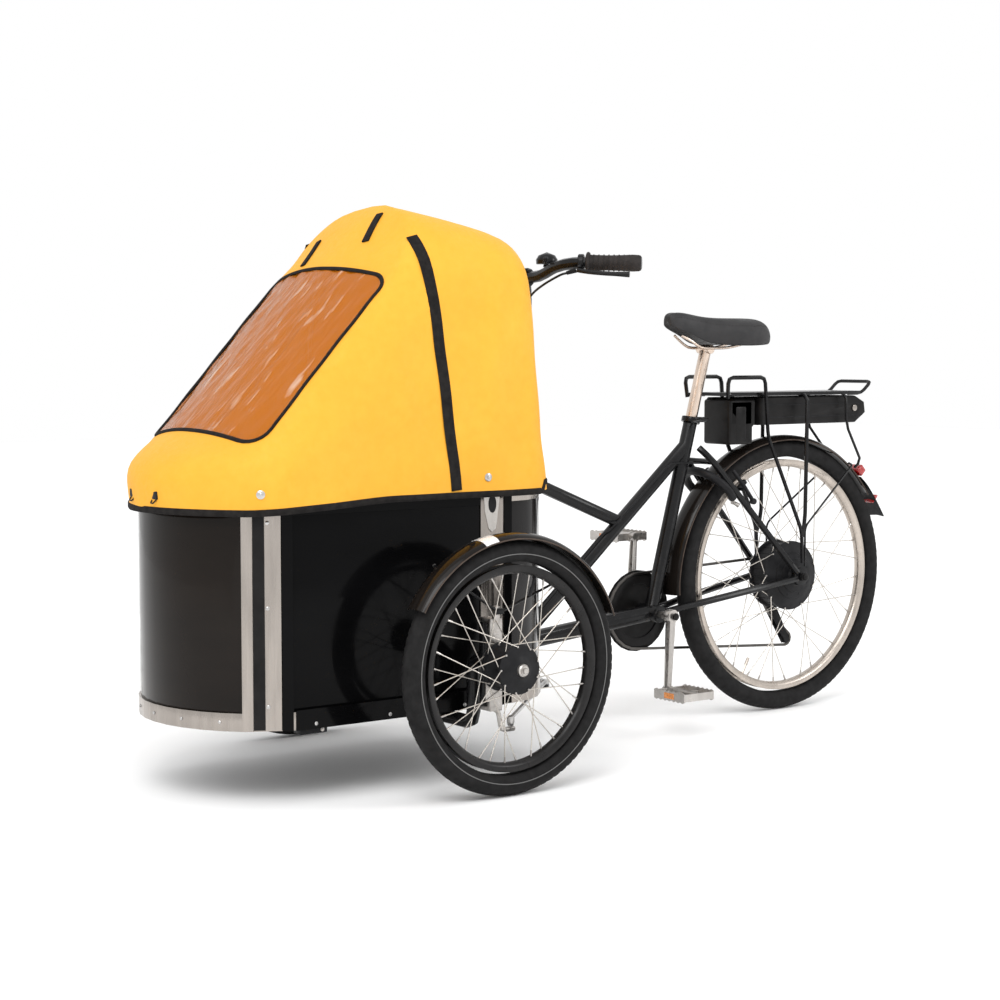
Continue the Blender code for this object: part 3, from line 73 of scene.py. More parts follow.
# ---------------------------------------------------------------- materials
class Surface:
    """A Principled material with a few procedural layers on top."""

    def __init__(self, name, colour, roughness=0.5, metallic=0.0, **sockets):
        self.material = bpy.data.materials.new(name)
        self.material.use_nodes = True
        self.tree = self.material.node_tree
        self.shader = self.tree.nodes["Principled BSDF"]
        self.colour = colour
        self.roughness = roughness
        self.shader.inputs["Base Color"].default_value = (*colour, 1.0)
        self.shader.inputs["Roughness"].default_value = roughness
        self.shader.inputs["Metallic"].default_value = metallic
        for key, value in sockets.items():
            socket = key.replace("_", " ").replace("Ior", "IOR")
            self.shader.inputs[socket].default_value = value
        self.coordinates = self.tree.nodes.new("ShaderNodeTexCoord")

    def add(self, kind, **values):
        node = self.tree.nodes.new(kind)
        for key, value in values.items():
            if key in node.inputs:
                node.inputs[key].default_value = value
            else:
                setattr(node, key, value)
        return node

    def link(self, source, target):
        self.tree.links.new(source, target)

    def place(self, scale, turn=(0, 0, 0)):
        mapping = self.add("ShaderNodeMapping", Scale=scale, Rotation=turn)
        self.link(self.coordinates.outputs["Object"], mapping.inputs["Vector"])
        return mapping.outputs["Vector"]

    def noise(self, scale, detail=4.0, roughness=0.55, turn=(0, 0, 0)):
        scale = (scale,) * 3 if isinstance(scale, (int, float)) else scale
        node = self.add("ShaderNodeTexNoise", Scale=1.0, Detail=detail, Roughness=roughness)
        self.link(self.place(scale, turn), node.inputs["Vector"])
        return node.outputs["Fac"]

    def cells(self, scale):
        node = self.add("ShaderNodeTexVoronoi", Scale=1.0)
        self.link(self.place((scale,) * 3), node.inputs["Vector"])
        return node.outputs["Distance"]

    def wave(self, scale, direction="X", turn=(0, 0, 0), distortion=0.0):
        node = self.add("ShaderNodeTexWave", Scale=1.0, Distortion=distortion)
        node.bands_direction = direction
        self.link(self.place((scale,) * 3, turn), node.inputs["Vector"])
        return node.outputs["Fac"]

    def combine(self, first, second, operation):
        node = self.add("ShaderNodeMath")
        node.operation = operation
        for socket, value in zip(node.inputs, (first, second)):
            if isinstance(value, (int, float)):
                socket.default_value = value
            else:
                self.link(value, socket)
        return node.outputs[0]

    def spread(self, factor, low, high, start=0.3, end=0.7):
        node = self.add("ShaderNodeMapRange")
        for key, value in (("From Min", start), ("From Max", end), ("To Min", low), ("To Max", high)):
            node.inputs[key].default_value = value
        self.link(factor, node.inputs["Value"])
        return node.outputs["Result"]

    def tint(self, factor, low, high, start=0.3, end=0.7):
        """Base colour between two colours by a pattern."""
        ramp = self.add("ShaderNodeValToRGB")
        for element, position, colour in zip(ramp.color_ramp.elements, (start, end), (low, high)):
            element.position = position
            element.color = (*colour, 1.0)
        self.link(factor, ramp.inputs["Fac"])
        self.link(ramp.outputs["Color"], self.shader.inputs["Base Color"])
        return self

    def polish(self, factor, low, high, start=0.3, end=0.7):
        self.link(self.spread(factor, low, high, start, end), self.shader.inputs["Roughness"])
        return self

    def relief(self, height, depth, strength=1.0):
        """Bump; each call lies on top of the one before."""
        node = self.add("ShaderNodeBump", Strength=strength, Distance=depth)
        self.link(height, node.inputs["Height"])
        target = self.shader.inputs["Normal"]
        if target.links:
            self.link(target.links[0].from_socket, node.inputs["Normal"])
        self.link(node.outputs["Normal"], target)
        return self


def shade(colour, factor):
    return tuple(min(1.0, c * factor) for c in colour)


def painted(name, colour, roughness):
    s = Surface(name, colour, roughness, Specular_Ior_Level=0.20, Coat_Weight=0.06, Coat_Roughness=0.06)
    s.tint(s.noise(35), shade(colour, 0.75), shade(colour, 1.5))
    s.polish(s.noise(60), roughness * 0.8, roughness * 1.3)
    s.relief(s.noise(900, 2), 0.0002, 0.10)
    return s.material


def bare_metal(name, colour, roughness, stretch=(60, 60, 1500), relief=0.12):
    s = Surface(name, colour, roughness, 1.0)
    s.tint(s.noise((40, 40, 6)), shade(colour, 0.86), shade(colour, 1.08))
    s.polish(s.noise(stretch), roughness * 0.65, roughness * 1.5)
    s.relief(s.noise(stretch, 2), 0.0003, relief)
    return s.material


def moulded(name, colour, roughness, grain=1400, depth=0.0004, strength=0.25):
    s = Surface(name, colour, roughness, Specular_Ior_Level=0.14)
    s.tint(s.noise(30), shade(colour, 0.7), shade(colour, 1.45))
    s.polish(s.noise(90), roughness * 0.85, min(1.0, roughness * 1.2))
    s.relief(s.cells(grain), depth, strength)
    return s.material


def glossy_board(name, colour, shine=0.16):
    """A high-gloss laminate with slight waves and the haze of wiped dust."""
    s = Surface(name, colour, 0.08, Specular_Ior_Level=shine)
    s.tint(s.noise((3, 3, 9)), shade(colour, 0.8), shade(colour, 1.35))
    s.polish(s.noise((14, 14, 30), 6), 0.05, 0.17)
    s.relief(s.noise(3.5, 1), 0.004, 0.16)
    return s.material


def rubber(name, colour, roughness=0.78):
    s = Surface(name, colour, roughness, Specular_Ior_Level=0.18)
    s.tint(s.noise(55), shade(colour, 0.7), shade(colour, 1.6))
    s.relief(s.noise(1800, 3), 0.0004, 0.35)
    return s.material


def coated_cloth():
    """Yellow woven cloth with a coating: fine plain weave, soft mottling, slight sheen."""
    yellow = (0.83, 0.40, 0.036)
    s = Surface("canopy_cloth", yellow, 0.62, Specular_Ior_Level=0.25)
    blotch = s.combine(s.noise(7, 3), s.noise(45, 3), "MULTIPLY")
    s.tint(blotch, (0.80, 0.375, 0.030), (0.86, 0.420, 0.042), 0.10, 0.50)
    warp = s.wave(420, "Z")
    weft = s.combine(s.wave(420, "X"), s.wave(420, "Y"), "MULTIPLY")
    s.relief(s.combine(warp, weft, "ADD"), 0.0004, 0.22)
    s.relief(s.noise((9, 9, 5), 3), 0.010, 0.20)
    s.polish(s.noise(120), 0.52, 0.72)
    return s.material


def clear_film():
    """Flexible clear window film with wrinkles in its bump and pale streaks in its colour, which are painted
    highlights standing in for glints of light on the creases.
    """
    orange = (0.58, 0.165, 0.005)
    s = Surface("window_film", orange, 0.08, Alpha=0.55, Specular_Ior_Level=0.35, Coat_Weight=0.08)
    wrinkle_and_glint_streaks = s.noise((9, 42, 9), 3, 0.5, (0.2, 0.75, 0.35))
    # painted highlight: where the streak pattern is high, the base colour turns pale, standing in for glints
    # of light along the creases
    s.tint(wrinkle_and_glint_streaks, orange, (0.85, 0.58, 0.42), 0.62, 0.76)
    s.relief(wrinkle_and_glint_streaks, 0.012, 0.45)
    s.relief(s.noise((38, 8, 14), 4, 0.6, (0.2, -0.4, 0.9)), 0.006, 0.35)
    return s.material


def webbing():
    s = Surface("black_webbing", (0.010, 0.009, 0.008), 0.85, Specular_Ior_Level=0.12)
    s.relief(s.combine(s.wave(300, "Z"), s.wave(300, "X"), "MULTIPLY"), 0.0006, 0.5)
    s.tint(s.noise(80), (0.009, 0.008, 0.008), (0.02, 0.018, 0.017))
    return s.material


def leather_like():
    s = Surface("saddle_leather", (0.013, 0.013, 0.014), 0.52, Specular_Ior_Level=0.4)
    s.tint(s.noise(28), (0.009, 0.009, 0.010), (0.022, 0.021, 0.022))
    s.relief(s.cells(650), 0.0006, 0.45)
    s.relief(s.noise(2300, 2), 0.0002, 0.3)
    s.polish(s.noise(22), 0.42, 0.62)
    return s.material


def reflector(name, colour):
    s = Surface(name, colour, 0.15, Coat_Weight=0.7)
    s.relief(s.cells(420), 0.001, 0.7)
    s.tint(s.cells(420), shade(colour, 0.6), shade(colour, 1.5))
    return s.material


BLACK = painted("black_paint", (0.0055, 0.0055, 0.006), 0.22)
STEEL = bare_metal("plain_steel", (0.52, 0.51, 0.50), 0.30)
SPOKE_STEEL = bare_metal("spoke_steel", (0.62, 0.58, 0.53), 0.24, (900, 900, 900), 0.05)
ALUMINIUM = bare_metal("polished_aluminium", (0.37, 0.335, 0.305), 0.22, (220, 220, 9), 0.04)
CAST_ALUMINIUM = bare_metal("cast_aluminium", (0.50, 0.475, 0.45), 0.34, (160, 160, 160), 0.18)
CHAMPAGNE = bare_metal("champagne_aluminium", (0.68, 0.56, 0.47), 0.28, (300, 300, 8), 0.05)
PLASTIC = moulded("black_plastic", (0.010, 0.010, 0.011), 0.42)
FINE_PLASTIC = moulded("satin_black_case", (0.0080, 0.0075, 0.0075), 0.34, 2200, 0.0002, 0.2)
GLOSS = glossy_board("gloss_black_panel", (0.0022, 0.0022, 0.0024), 0.07)
SMOKED = glossy_board("smoked_brown_panel", (0.0085, 0.0060, 0.0045))
REAR_BOARD = glossy_board("rear_dark_panel", (0.010, 0.009, 0.009))
CLOTH = coated_cloth()
FILM = clear_film()
WEBBING = webbing()
TYRE = rubber("tyre_rubber", (0.0085, 0.0082, 0.0084))
GRIP = rubber("grip_rubber", (0.022, 0.019, 0.018), 0.7)
HOSE = rubber("cable_housing", (0.010, 0.010, 0.010), 0.45)
RIM = painted("black_rim_coat", (0.010, 0.0095, 0.0095), 0.30)
GUARD = glossy_board("mudguard_plastic", (0.0085, 0.0068, 0.0058))
GUARD_EDGE = moulded("mudguard_edge", (0.055, 0.040, 0.032), 0.35)
RED = reflector("red_reflector", (0.32, 0.008, 0.008))
AMBER = reflector("amber_reflector", (0.62, 0.20, 0.02))
RIM_SILVER = bare_metal("rim_silver", (0.50, 0.445, 0.395), 0.30, (90, 90, 90), 0.03)
CHAIN_STEEL = bare_metal("chain_steel", (0.105, 0.098, 0.092), 0.34, (500, 500, 500), 0.1)
WHITE_REFLECT = reflector("white_reflector", (0.85, 0.86, 0.86))
SIDEWALL = Surface("reflective_sidewall", (0.11, 0.11, 0.108), 0.40)
SIDEWALL.relief(SIDEWALL.noise(1500, 2), 0.0002, 0.2)
SIDEWALL = SIDEWALL.material
LEATHER = leather_like()

CAD_LOOKS = {
    "black_paint": BLACK, "steel": STEEL, "aluminium": ALUMINIUM, "champagne_aluminium": CHAMPAGNE,
    "black_plastic": PLASTIC, "gloss_panel": GLOSS, "smoked_panel": SMOKED, "canopy_fabric": CLOTH,
    "tyre_rubber": TYRE, "grip_rubber": GRIP, "black_rim": RIM, "fender_plastic": GUARD,
    "red_lens": RED, "saddle_cover": LEATHER,
}
NODE_LOOKS = {"rear_panel": REAR_BOARD, "battery": FINE_PLASTIC, "controller_housing": FINE_PLASTIC,
              "crank_arms": CAST_ALUMINIUM, "knuckle_left": CAST_ALUMINIUM,
              "knuckle_right": CAST_ALUMINIUM, "ring_lock_bolt": CAST_ALUMINIUM, "chain": CHAIN_STEEL,
              "chainring": FINE_PLASTIC}


def dress_cad_nodes():
    """Every shown CAD node gets its finish, joined vertices and smooth shading."""
    slots = {s["node"]: s["material_slot"] for s in frame["record"]["subparts"]}
    for name, obj in frame["nodes"].items():
        obj.data.materials.clear()
        obj.data.materials.append(NODE_LOOKS.get(name, CAD_LOOKS[slots[name]]))
        for polygon in obj.data.polygons:
            polygon.use_smooth = True
        join = obj.modifiers.new("Join", "WELD")
        join.merge_threshold = 1e-5
        if name not in ("canopy", "saddle"):
            soften = obj.modifiers.new("Soften", "BEVEL")
            soften.width = 0.0007
            soften.segments = 2
            soften.limit_method = "ANGLE"
            soften.angle_limit = math.radians(42)
            soften.harden_normals = False
        split = obj.modifiers.new("Edges", "EDGE_SPLIT")
        split.split_angle = math.radians(38)


# ---------------------------------------------------------------- shapes
def rounded(points, radius, steps=5):
    """Replace each inner corner of a path by an arc-like bend."""
    points = [Vector(p) for p in points]
    path = [points[0]]
    for before, corner, after in zip(points, points[1:], points[2:]):
        back, ahead = before - corner, after - corner
        reach = min(radius, back.length * 0.45, ahead.length * 0.45)
        start = corner + back.normalized() * reach
        end = corner + ahead.normalized() * reach
        for i in range(steps + 1):
            t = i / steps
            path.append(start.lerp(corner, t).lerp(corner.lerp(end, t), t))
    return path + [points[-1]]


def smooth_path(points, count=24):
    """A Catmull-Rom curve through the points."""
    points = [Vector(p) for p in points]
    points = [points[0] * 2 - points[1]] + points + [points[-1] * 2 - points[-2]]
    spans = len(points) - 3
    path = []
    for i in range(count + 1):
        place = min(i / count * spans, spans - 1e-6)
        k = int(place)
        t = place - k
        a, b, c, d = points[k:k + 4]
        path.append(0.5 * (2 * b + (c - a) * t + (2 * a - 5 * b + 4 * c - d) * t ** 2
                           + (3 * b - 3 * c + d - a) * t ** 3))
    return path


def bridge(bm, rings, closed=False):
    """Join neighbouring rings of vertices by faces; an open row of rings gets two end caps."""
    pairs = list(zip(rings, rings[1:])) + ([(rings[-1], rings[0])] if closed else [])
    for low, high in pairs:
        for k in range(len(low)):
            n = (k + 1) % len(low)
            bm.faces.new((low[k], low[n], high[n], high[k]))
    if not closed:
        bm.faces.new(rings[0])
        bm.faces.new(rings[-1])
    return bm


def around(centre, angle, radius, y=0.0):
    """A point at an angle, in radians, in the plane of a wheel."""
    return Vector(centre) + Vector((math.cos(angle) * radius, y, math.sin(angle) * radius))


def sweep(bm, points, section, closed=False, up=None):
    """Carry a flat section of (sideways, outwards) points along a path; up is one normal per point."""
    points = [Vector(p) for p in points]
    count = len(points)
    rings, normal = [], None
    for i, point in enumerate(points):
        if closed:
            tangent = (points[(i + 1) % count] - points[i - 1]).normalized()
        else:
            tangent = (points[min(i + 1, count - 1)] - points[max(i - 1, 0)]).normalized()
        if up is not None:
            normal = Vector(up[i])
        elif normal is None:
            helper = Vector((0, 1, 0)) if abs(tangent.y) < 0.9 else Vector((0, 0, 1))
            normal = tangent.cross(helper)
        normal = (normal - tangent * normal.dot(tangent)).normalized()
        side = tangent.cross(normal)
        shape = section(i / max(1, count - 1)) if callable(section) else section
        rings.append([bm.verts.new(point + side * a + normal * b) for a, b in shape])
    return bridge(bm, rings, closed)


def circle(radius, sides=12):
    return [(radius * math.cos(2 * math.pi * k / sides), radius * math.sin(2 * math.pi * k / sides))
            for k in range(sides)]


def tube(points, radius, sides=12, bm=None, closed=False):
    return sweep(bm or bmesh.new(), points, circle(radius, sides), closed)


def taper(start, end, radius_a, radius_b, sides=16, bm=None):
    def section(t):
        return circle(radius_a + (radius_b - radius_a) * t, sides)
    return sweep(bm or bmesh.new(), [start, end], section)


def turned(profile, sides, centre, axis="y", closed=True, bm=None):
    """Turn (along, radius) points about an axis. A closed profile makes a ring."""
    bm = bm or bmesh.new()
    if isinstance(axis, str):
        axis = {"x": (1, 0, 0), "y": (0, 1, 0), "z": (0, 0, 1)}[axis]
    axis = Vector(axis).normalized()
    first = axis.orthogonal().normalized()
    second = axis.cross(first)
    rings = []
    for along, radius in profile:
        if radius < 1e-6:
            rings.append([bm.verts.new(Vector(centre) + axis * along)])
            continue
        rings.append([bm.verts.new(Vector(centre) + axis * along
                                   + (first * math.cos(2 * math.pi * k / sides)
                                      + second * math.sin(2 * math.pi * k / sides)) * radius)
                      for k in range(sides)])
    pairs = list(zip(rings, rings[1:])) + ([(rings[-1], rings[0])] if closed else [])
    for low, high in pairs:
        for k in range(sides):
            n = (k + 1) % sides
            if len(low) == 1:
                bm.faces.new((low[0], high[n], high[k]))
            elif len(high) == 1:
                bm.faces.new((low[k], low[n], high[0]))
            else:
                bm.faces.new((low[k], low[n], high[n], high[k]))
    if not closed:
        for ring in (rings[0], rings[-1]):
            if len(ring) > 1:
                bm.faces.new(ring)
    return bm


def slab(low, high, bevel=0.0, segments=2, bm=None, turn=None):
    """A block between two corners with rounded edges, optionally turned about its middle."""
    made = bmesh.new()
    bmesh.ops.create_cube(made, size=1.0)
    low, high = Vector(low), Vector(high)
    bmesh.ops.scale(made, vec=high - low, verts=made.verts)
    if bevel:
        bmesh.ops.bevel(made, geom=made.edges[:], offset=bevel, segments=segments, affect="EDGES",
                        profile=0.5)
    if turn is not None:
        bmesh.ops.transform(made, matrix=turn.to_4x4(), verts=made.verts)
    bmesh.ops.translate(made, vec=(low + high) / 2, verts=made.verts)
    if bm is None:
        return made
    return merge(bm, made)


def side_slab(side, x, y, z, bevel, segments, bm):
    """A block given by its limits, with the y limits taken to one side."""
    low, high = sorted((side * y[0], side * y[1]))
    return slab((x[0], low, z[0]), (x[1], high, z[1]), bevel, segments, bm)


def merge(bm, other):
    mesh = bpy.data.meshes.new("part")
    other.to_mesh(mesh)
    other.free()
    bm.from_mesh(mesh)
    bpy.data.meshes.remove(mesh)
    return bm


def prism(outline, axis, low, high, bm=None):
    """Extrude a flat outline along x, y or z."""
    def point(a, b, c):
        return {"y": (a, c, b), "z": (a, b, c), "x": (c, a, b)}[axis]
    bm = bm or bmesh.new()
    bottom = [bm.verts.new(point(a, b, low)) for a, b in outline]
    top = [bm.verts.new(point(a, b, high)) for a, b in outline]
    return bridge(bm, [bottom, top])


def bolt(centre, axis, radius, height, bm=None, sides=6):
    """A hexagon head with a washer, pointing along the axis."""
    bm = bm or bmesh.new()
    turned([(0.0, 0.0), (0.0, radius * 1.45), (height * 0.25, radius * 1.45), (height * 0.25, 0.0)],
           20, centre, axis, False, bm)
    return turned([(height * 0.2, 0.0), (height * 0.2, radius), (height * 0.85, radius),
                   (height, radius * 0.8), (height, 0.0)], sides, centre, axis, False, bm)


def piece(name, bm, material, body, angle=35.0, replaces=(), subdivide=0):
    """Finish a mesh made in bicycle lengths and let it ride on a body."""
    bmesh.ops.translate(bm, vec=ORIGIN, verts=bm.verts)
    bmesh.ops.recalc_face_normals(bm, faces=bm.faces)
    mesh = bpy.data.meshes.new(name)
    bm.to_mesh(mesh)
    bm.free()
    for one in material if isinstance(material, (list, tuple)) else [material]:
        mesh.materials.append(one)
    for polygon in mesh.polygons:
        polygon.use_smooth = True
    mesh.set_sharp_from_angle(angle=math.radians(angle))
    obj = bpy.data.objects.new(name, mesh)
    bpy.context.scene.collection.objects.link(obj)
    if subdivide:
        smoother = obj.modifiers.new("Subdivide", "SUBSURF")
        smoother.render_levels = subdivide
        smoother.levels = subdivide
    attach(obj, body)
    if replaces:
        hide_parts(*replaces)
    return obj


# ---------------------------------------------------------------- canopy
# per level: height, front x on the middle line, how far the front bends back at y 0.2,
# half width of the front face, half width of the sides, rear x on the middle line
CANOPY_LEVELS = [
    (0.585, 1.709, 0.081, 0.224, 0.263, 0.860),
    (0.635, 1.714, 0.082, 0.228, 0.262, 0.862),
    (0.660, 1.698, 0.076, 0.230, 0.260, 0.864),
    (0.688, 1.645, 0.058, 0.230, 0.258, 0.867),
    (0.720, 1.600, 0.046, 0.229, 0.257, 0.870),
    (0.795, 1.528, 0.042, 0.228, 0.254, 0.876),
    (0.922, 1.411, 0.041, 0.226, 0.249, 0.884),
    (1.012, 1.327, 0.041, 0.221, 0.243, 0.888),
    (1.050, 1.291, 0.040, 0.214, 0.238, 0.890),
    (1.085, 1.260, 0.040, 0.199, 0.226, 0.892),
    (1.115, 1.234, 0.040, 0.177, 0.205, 0.895),
    (1.138, 1.211, 0.038, 0.148, 0.176, 0.899),
    (1.156, 1.191, 0.034, 0.108, 0.130, 0.908),
    (1.168, 1.172, 0.020, 0.060, 0.075, 0.928),
    (1.172, 1.160, 0.008, 0.025, 0.030, 0.955),
]
WINDOW_MIDDLE = Vector((1.4490, 0.0, 0.8735))
WINDOW_UP = Vector((-0.6817, 0.0, 0.7316))
WINDOW_OUT = Vector((0.7316, 0.0, 0.6817))
# shallow folds pressed into each side: start and end as (x, z), depth, width
FOLDS = [((1.300, 0.960), (1.240, 0.640), 0.0050, 0.020), ((1.020, 1.060), (1.075, 0.640), 0.0055, 0.026),
         ((0.950, 0.980), (0.985, 0.640), -0.0045, 0.022), ((1.150, 0.820), (1.090, 0.600), 0.0035, 0.014),
         ((1.400, 0.800), (1.330, 0.610), -0.0040, 0.020), ((1.480, 0.740), (1.560, 0.610), 0.0040, 0.018),
         ((1.240, 1.060), (1.130, 0.900), -0.0040, 0.022)]


def canopy_outline(row):
    """Half of the plan at one height, from the front's middle to the rear's middle."""
    z, front, bend, face, side, rear = row
    points = []
    for i in range(17):
        y = face * i / 16
        points.append((front - bend * (y / 0.2) ** 2, y))
    corner = points[-1][0]
    run = min(0.15, 0.075 + (z - CANOPY_HEM) * 0.45)
    for i in range(1, 7):
        t = i / 6
        points.append((corner - run * t, face + (side - face) * (1 - (1 - t) ** 2)))
    start, bulge = corner - run, rear + 0.105
    squareness = 2 / 2.6
    for i in range(1, 19):
        points.append((start + (bulge - start) * i / 18, side))
    for i in range(1, 17):
        a = math.pi / 2 * i / 16
        points.append((bulge - (bulge - rear) * math.sin(a) ** squareness,
                       side * math.cos(a) ** squareness))
    return [Vector((x, y, z)) for x, y in points]


def canopy_rows():
    table = np.array(CANOPY_LEVELS)
    steps = np.linspace(0, 1, 62) ** 0.92
    heights = CANOPY_HEM + steps * (table[-1, 0] - CANOPY_HEM)
    columns = [np.interp(heights, table[:, 0], table[:, k]) for k in range(1, 6)]
    for _ in range(2):
        for column in columns:
            column[1:-1] = (column[:-2] + 2 * column[1:-1] + column[2:]) / 4
    rows = []
    for i, z in enumerate(heights):
        row = canopy_outline((z, *[column[i] for column in columns]))
        for point in row:
            share = min(1.0, max(0.0, (z - 0.88) / 0.26))
            point.z -= 0.20 * max(0.0, 1.165 - point.x) * share * share * (3 - 2 * share)
            if i < 8:
                ahead = min(1.0, max(0.0, (point.x - 1.30) / 0.30))
                point.z -= 0.017 * ahead * (1 - i / 8)
        rows.append(row)
    return rows


def folded(point, side):
    """How far the cloth moves outwards at a point: a few pressed folds and slack near the hem."""
    push = 0.0
    for start, end, depth, width in FOLDS:
        ax, az = start
        dx, dz = end[0] - ax, end[1] - az
        t = ((point.x - ax) * dx + (point.z - az) * dz) / (dx * dx + dz * dz)
        t = min(1.0, max(0.0, t))
        gap = math.hypot(point.x - ax - dx * t, point.z - az - dz * t)
        fade = math.sin(math.pi * min(1.0, max(0.02, t * 0.9 + 0.05))) ** 0.5
        push += depth * (0.85 if side < 0 else 1.0) * fade * math.exp(-(gap / width) ** 2)
    near_hem = math.exp(-(point.z - CANOPY_HEM) / 0.045)
    push += 0.0028 * near_hem * math.sin(point.x * 31 + point.y * 23 + side)
    push += (0.0016 * math.sin(point.x * 17 + point.z * 23 + side * 2)
             * math.sin(point.z * 14 - point.y * 19))
    push += 0.0009 * math.sin(point.x * 47 - point.z * 38 + 1.3 * side)
    return push


def canopy_sheet():
    """The cloth as one sheet, closed at the top and without thickness."""
    bm = bmesh.new()
    rows = canopy_rows()
    columns = len(rows[0])
    left = [[bm.verts.new(p) for p in row] for row in rows]
    right = []
    for row, made in zip(rows, left):
        other = [bm.verts.new((p.x, -p.y, p.z)) for p in row[1:-1]]
        right.append([made[0]] + other + [made[-1]])
    for grid in (left, right):
        for low, high in zip(grid, grid[1:]):
            for k in range(columns - 1):
                bm.faces.new((low[k], low[k + 1], high[k + 1], high[k]))
    top_left, top_right = left[-1], right[-1]
    for k in range(columns - 1):
        corners = [top_left[k], top_left[k + 1], top_right[k + 1], top_right[k]]
        unique = list(dict.fromkeys(corners))
        if len(unique) > 2:
            bm.faces.new(unique)
    bmesh.ops.recalc_face_normals(bm, faces=bm.faces)
    bm.normal_update()
    for vert in bm.verts:
        side = 1 if vert.co.y > 0 else -1
        on_side = min(1.0, max(0.0, abs(vert.normal.y) * 2.2 - 0.5))
        vert.co += vert.normal * folded(vert.co, side) * (0.25 + 0.75 * on_side)
    return bm


def window_point(across, up, out):
    """A point given in the window's own directions."""
    return WINDOW_MIDDLE + Vector((0, across, 0)) + WINDOW_UP * up + WINDOW_OUT * out


def window_outline(half_width, half_height, corner, steps=8):
    """A rounded rectangle as (across, up) points; its two lower corners are rounder."""
    points = []
    corners = ((1, 1, 0, 0.8), (-1, 1, 90, 0.8), (-1, -1, 180, 1.1), (1, -1, 270, 1.1))
    for across, up, start, roundness in corners:
        r = corner * roundness
        for i in range(steps + 1):
            a = math.radians(start + 90 * i / steps)
            points.append((across * (half_width - r) + r * math.cos(a),
                           up * (half_height - r) + r * math.sin(a)))
    return points


def window_prism(name, half_width, half_height, corner):
    bm = bmesh.new()
    outline = window_outline(half_width, half_height, corner)
    bridge(bm, [[bm.verts.new(ORIGIN + window_point(a, b, depth)) for a, b in outline]
                for depth in (-0.13, 0.08)])
    bmesh.ops.recalc_face_normals(bm, faces=bm.faces)
    mesh = bpy.data.meshes.new(name)
    bm.to_mesh(mesh)
    bm.free()
    cutter = bpy.data.objects.new(name, mesh)
    bpy.context.scene.collection.objects.link(cutter)
    return cutter


def bake(obj):
    """Replace an object's mesh by the result of its modifiers."""
    graph = bpy.context.evaluated_depsgraph_get()
    mesh = bpy.data.meshes.new_from_object(obj.evaluated_get(graph))
    obj.modifiers.clear()
    obj.data = mesh


def trimmed(obj, cutter, operation, thickness):
    """Give a sheet thickness, cut it with a prism, and keep the result."""
    shell = obj.modifiers.new("Thickness", "SOLIDIFY")
    shell.thickness = thickness
    shell.offset = -1.0
    cut = obj.modifiers.new("Cut", "BOOLEAN")
    cut.object = cutter
    cut.operation = operation
    cut.solver = "EXACT"
    bake(obj)
    bpy.data.objects.remove(cutter)
    for polygon in obj.data.polygons:
        polygon.use_smooth = True
    obj.data.set_sharp_from_angle(angle=math.radians(50))


def surface_area(bm, keep=lambda face: True):
    return sum(face.calc_area() for face in bm.faces if keep(face))


def ribbon(bm, skin, path, width, thickness, lift=0.0008):
    """A flat strap laid on the cloth along (start, direction) rays."""
    points, normals = [], []
    for start, aim in path:
        hit, normal, _, _ = skin.ray_cast(Vector(start), Vector(aim).normalized())
        if hit is None:
            continue
        if normal.dot(Vector(aim)) > 0:
            normal = -normal
        points.append(hit + normal * (lift + thickness / 2))
        normals.append(normal)
    half, thin = width / 2, thickness / 2
    section = [(-half, -thin), (half, -thin), (half, thin * 0.4), (half * 0.94, thin),
               (-half * 0.94, thin), (-half, thin * 0.4)]
    return sweep(bm, points, section, up=normals)


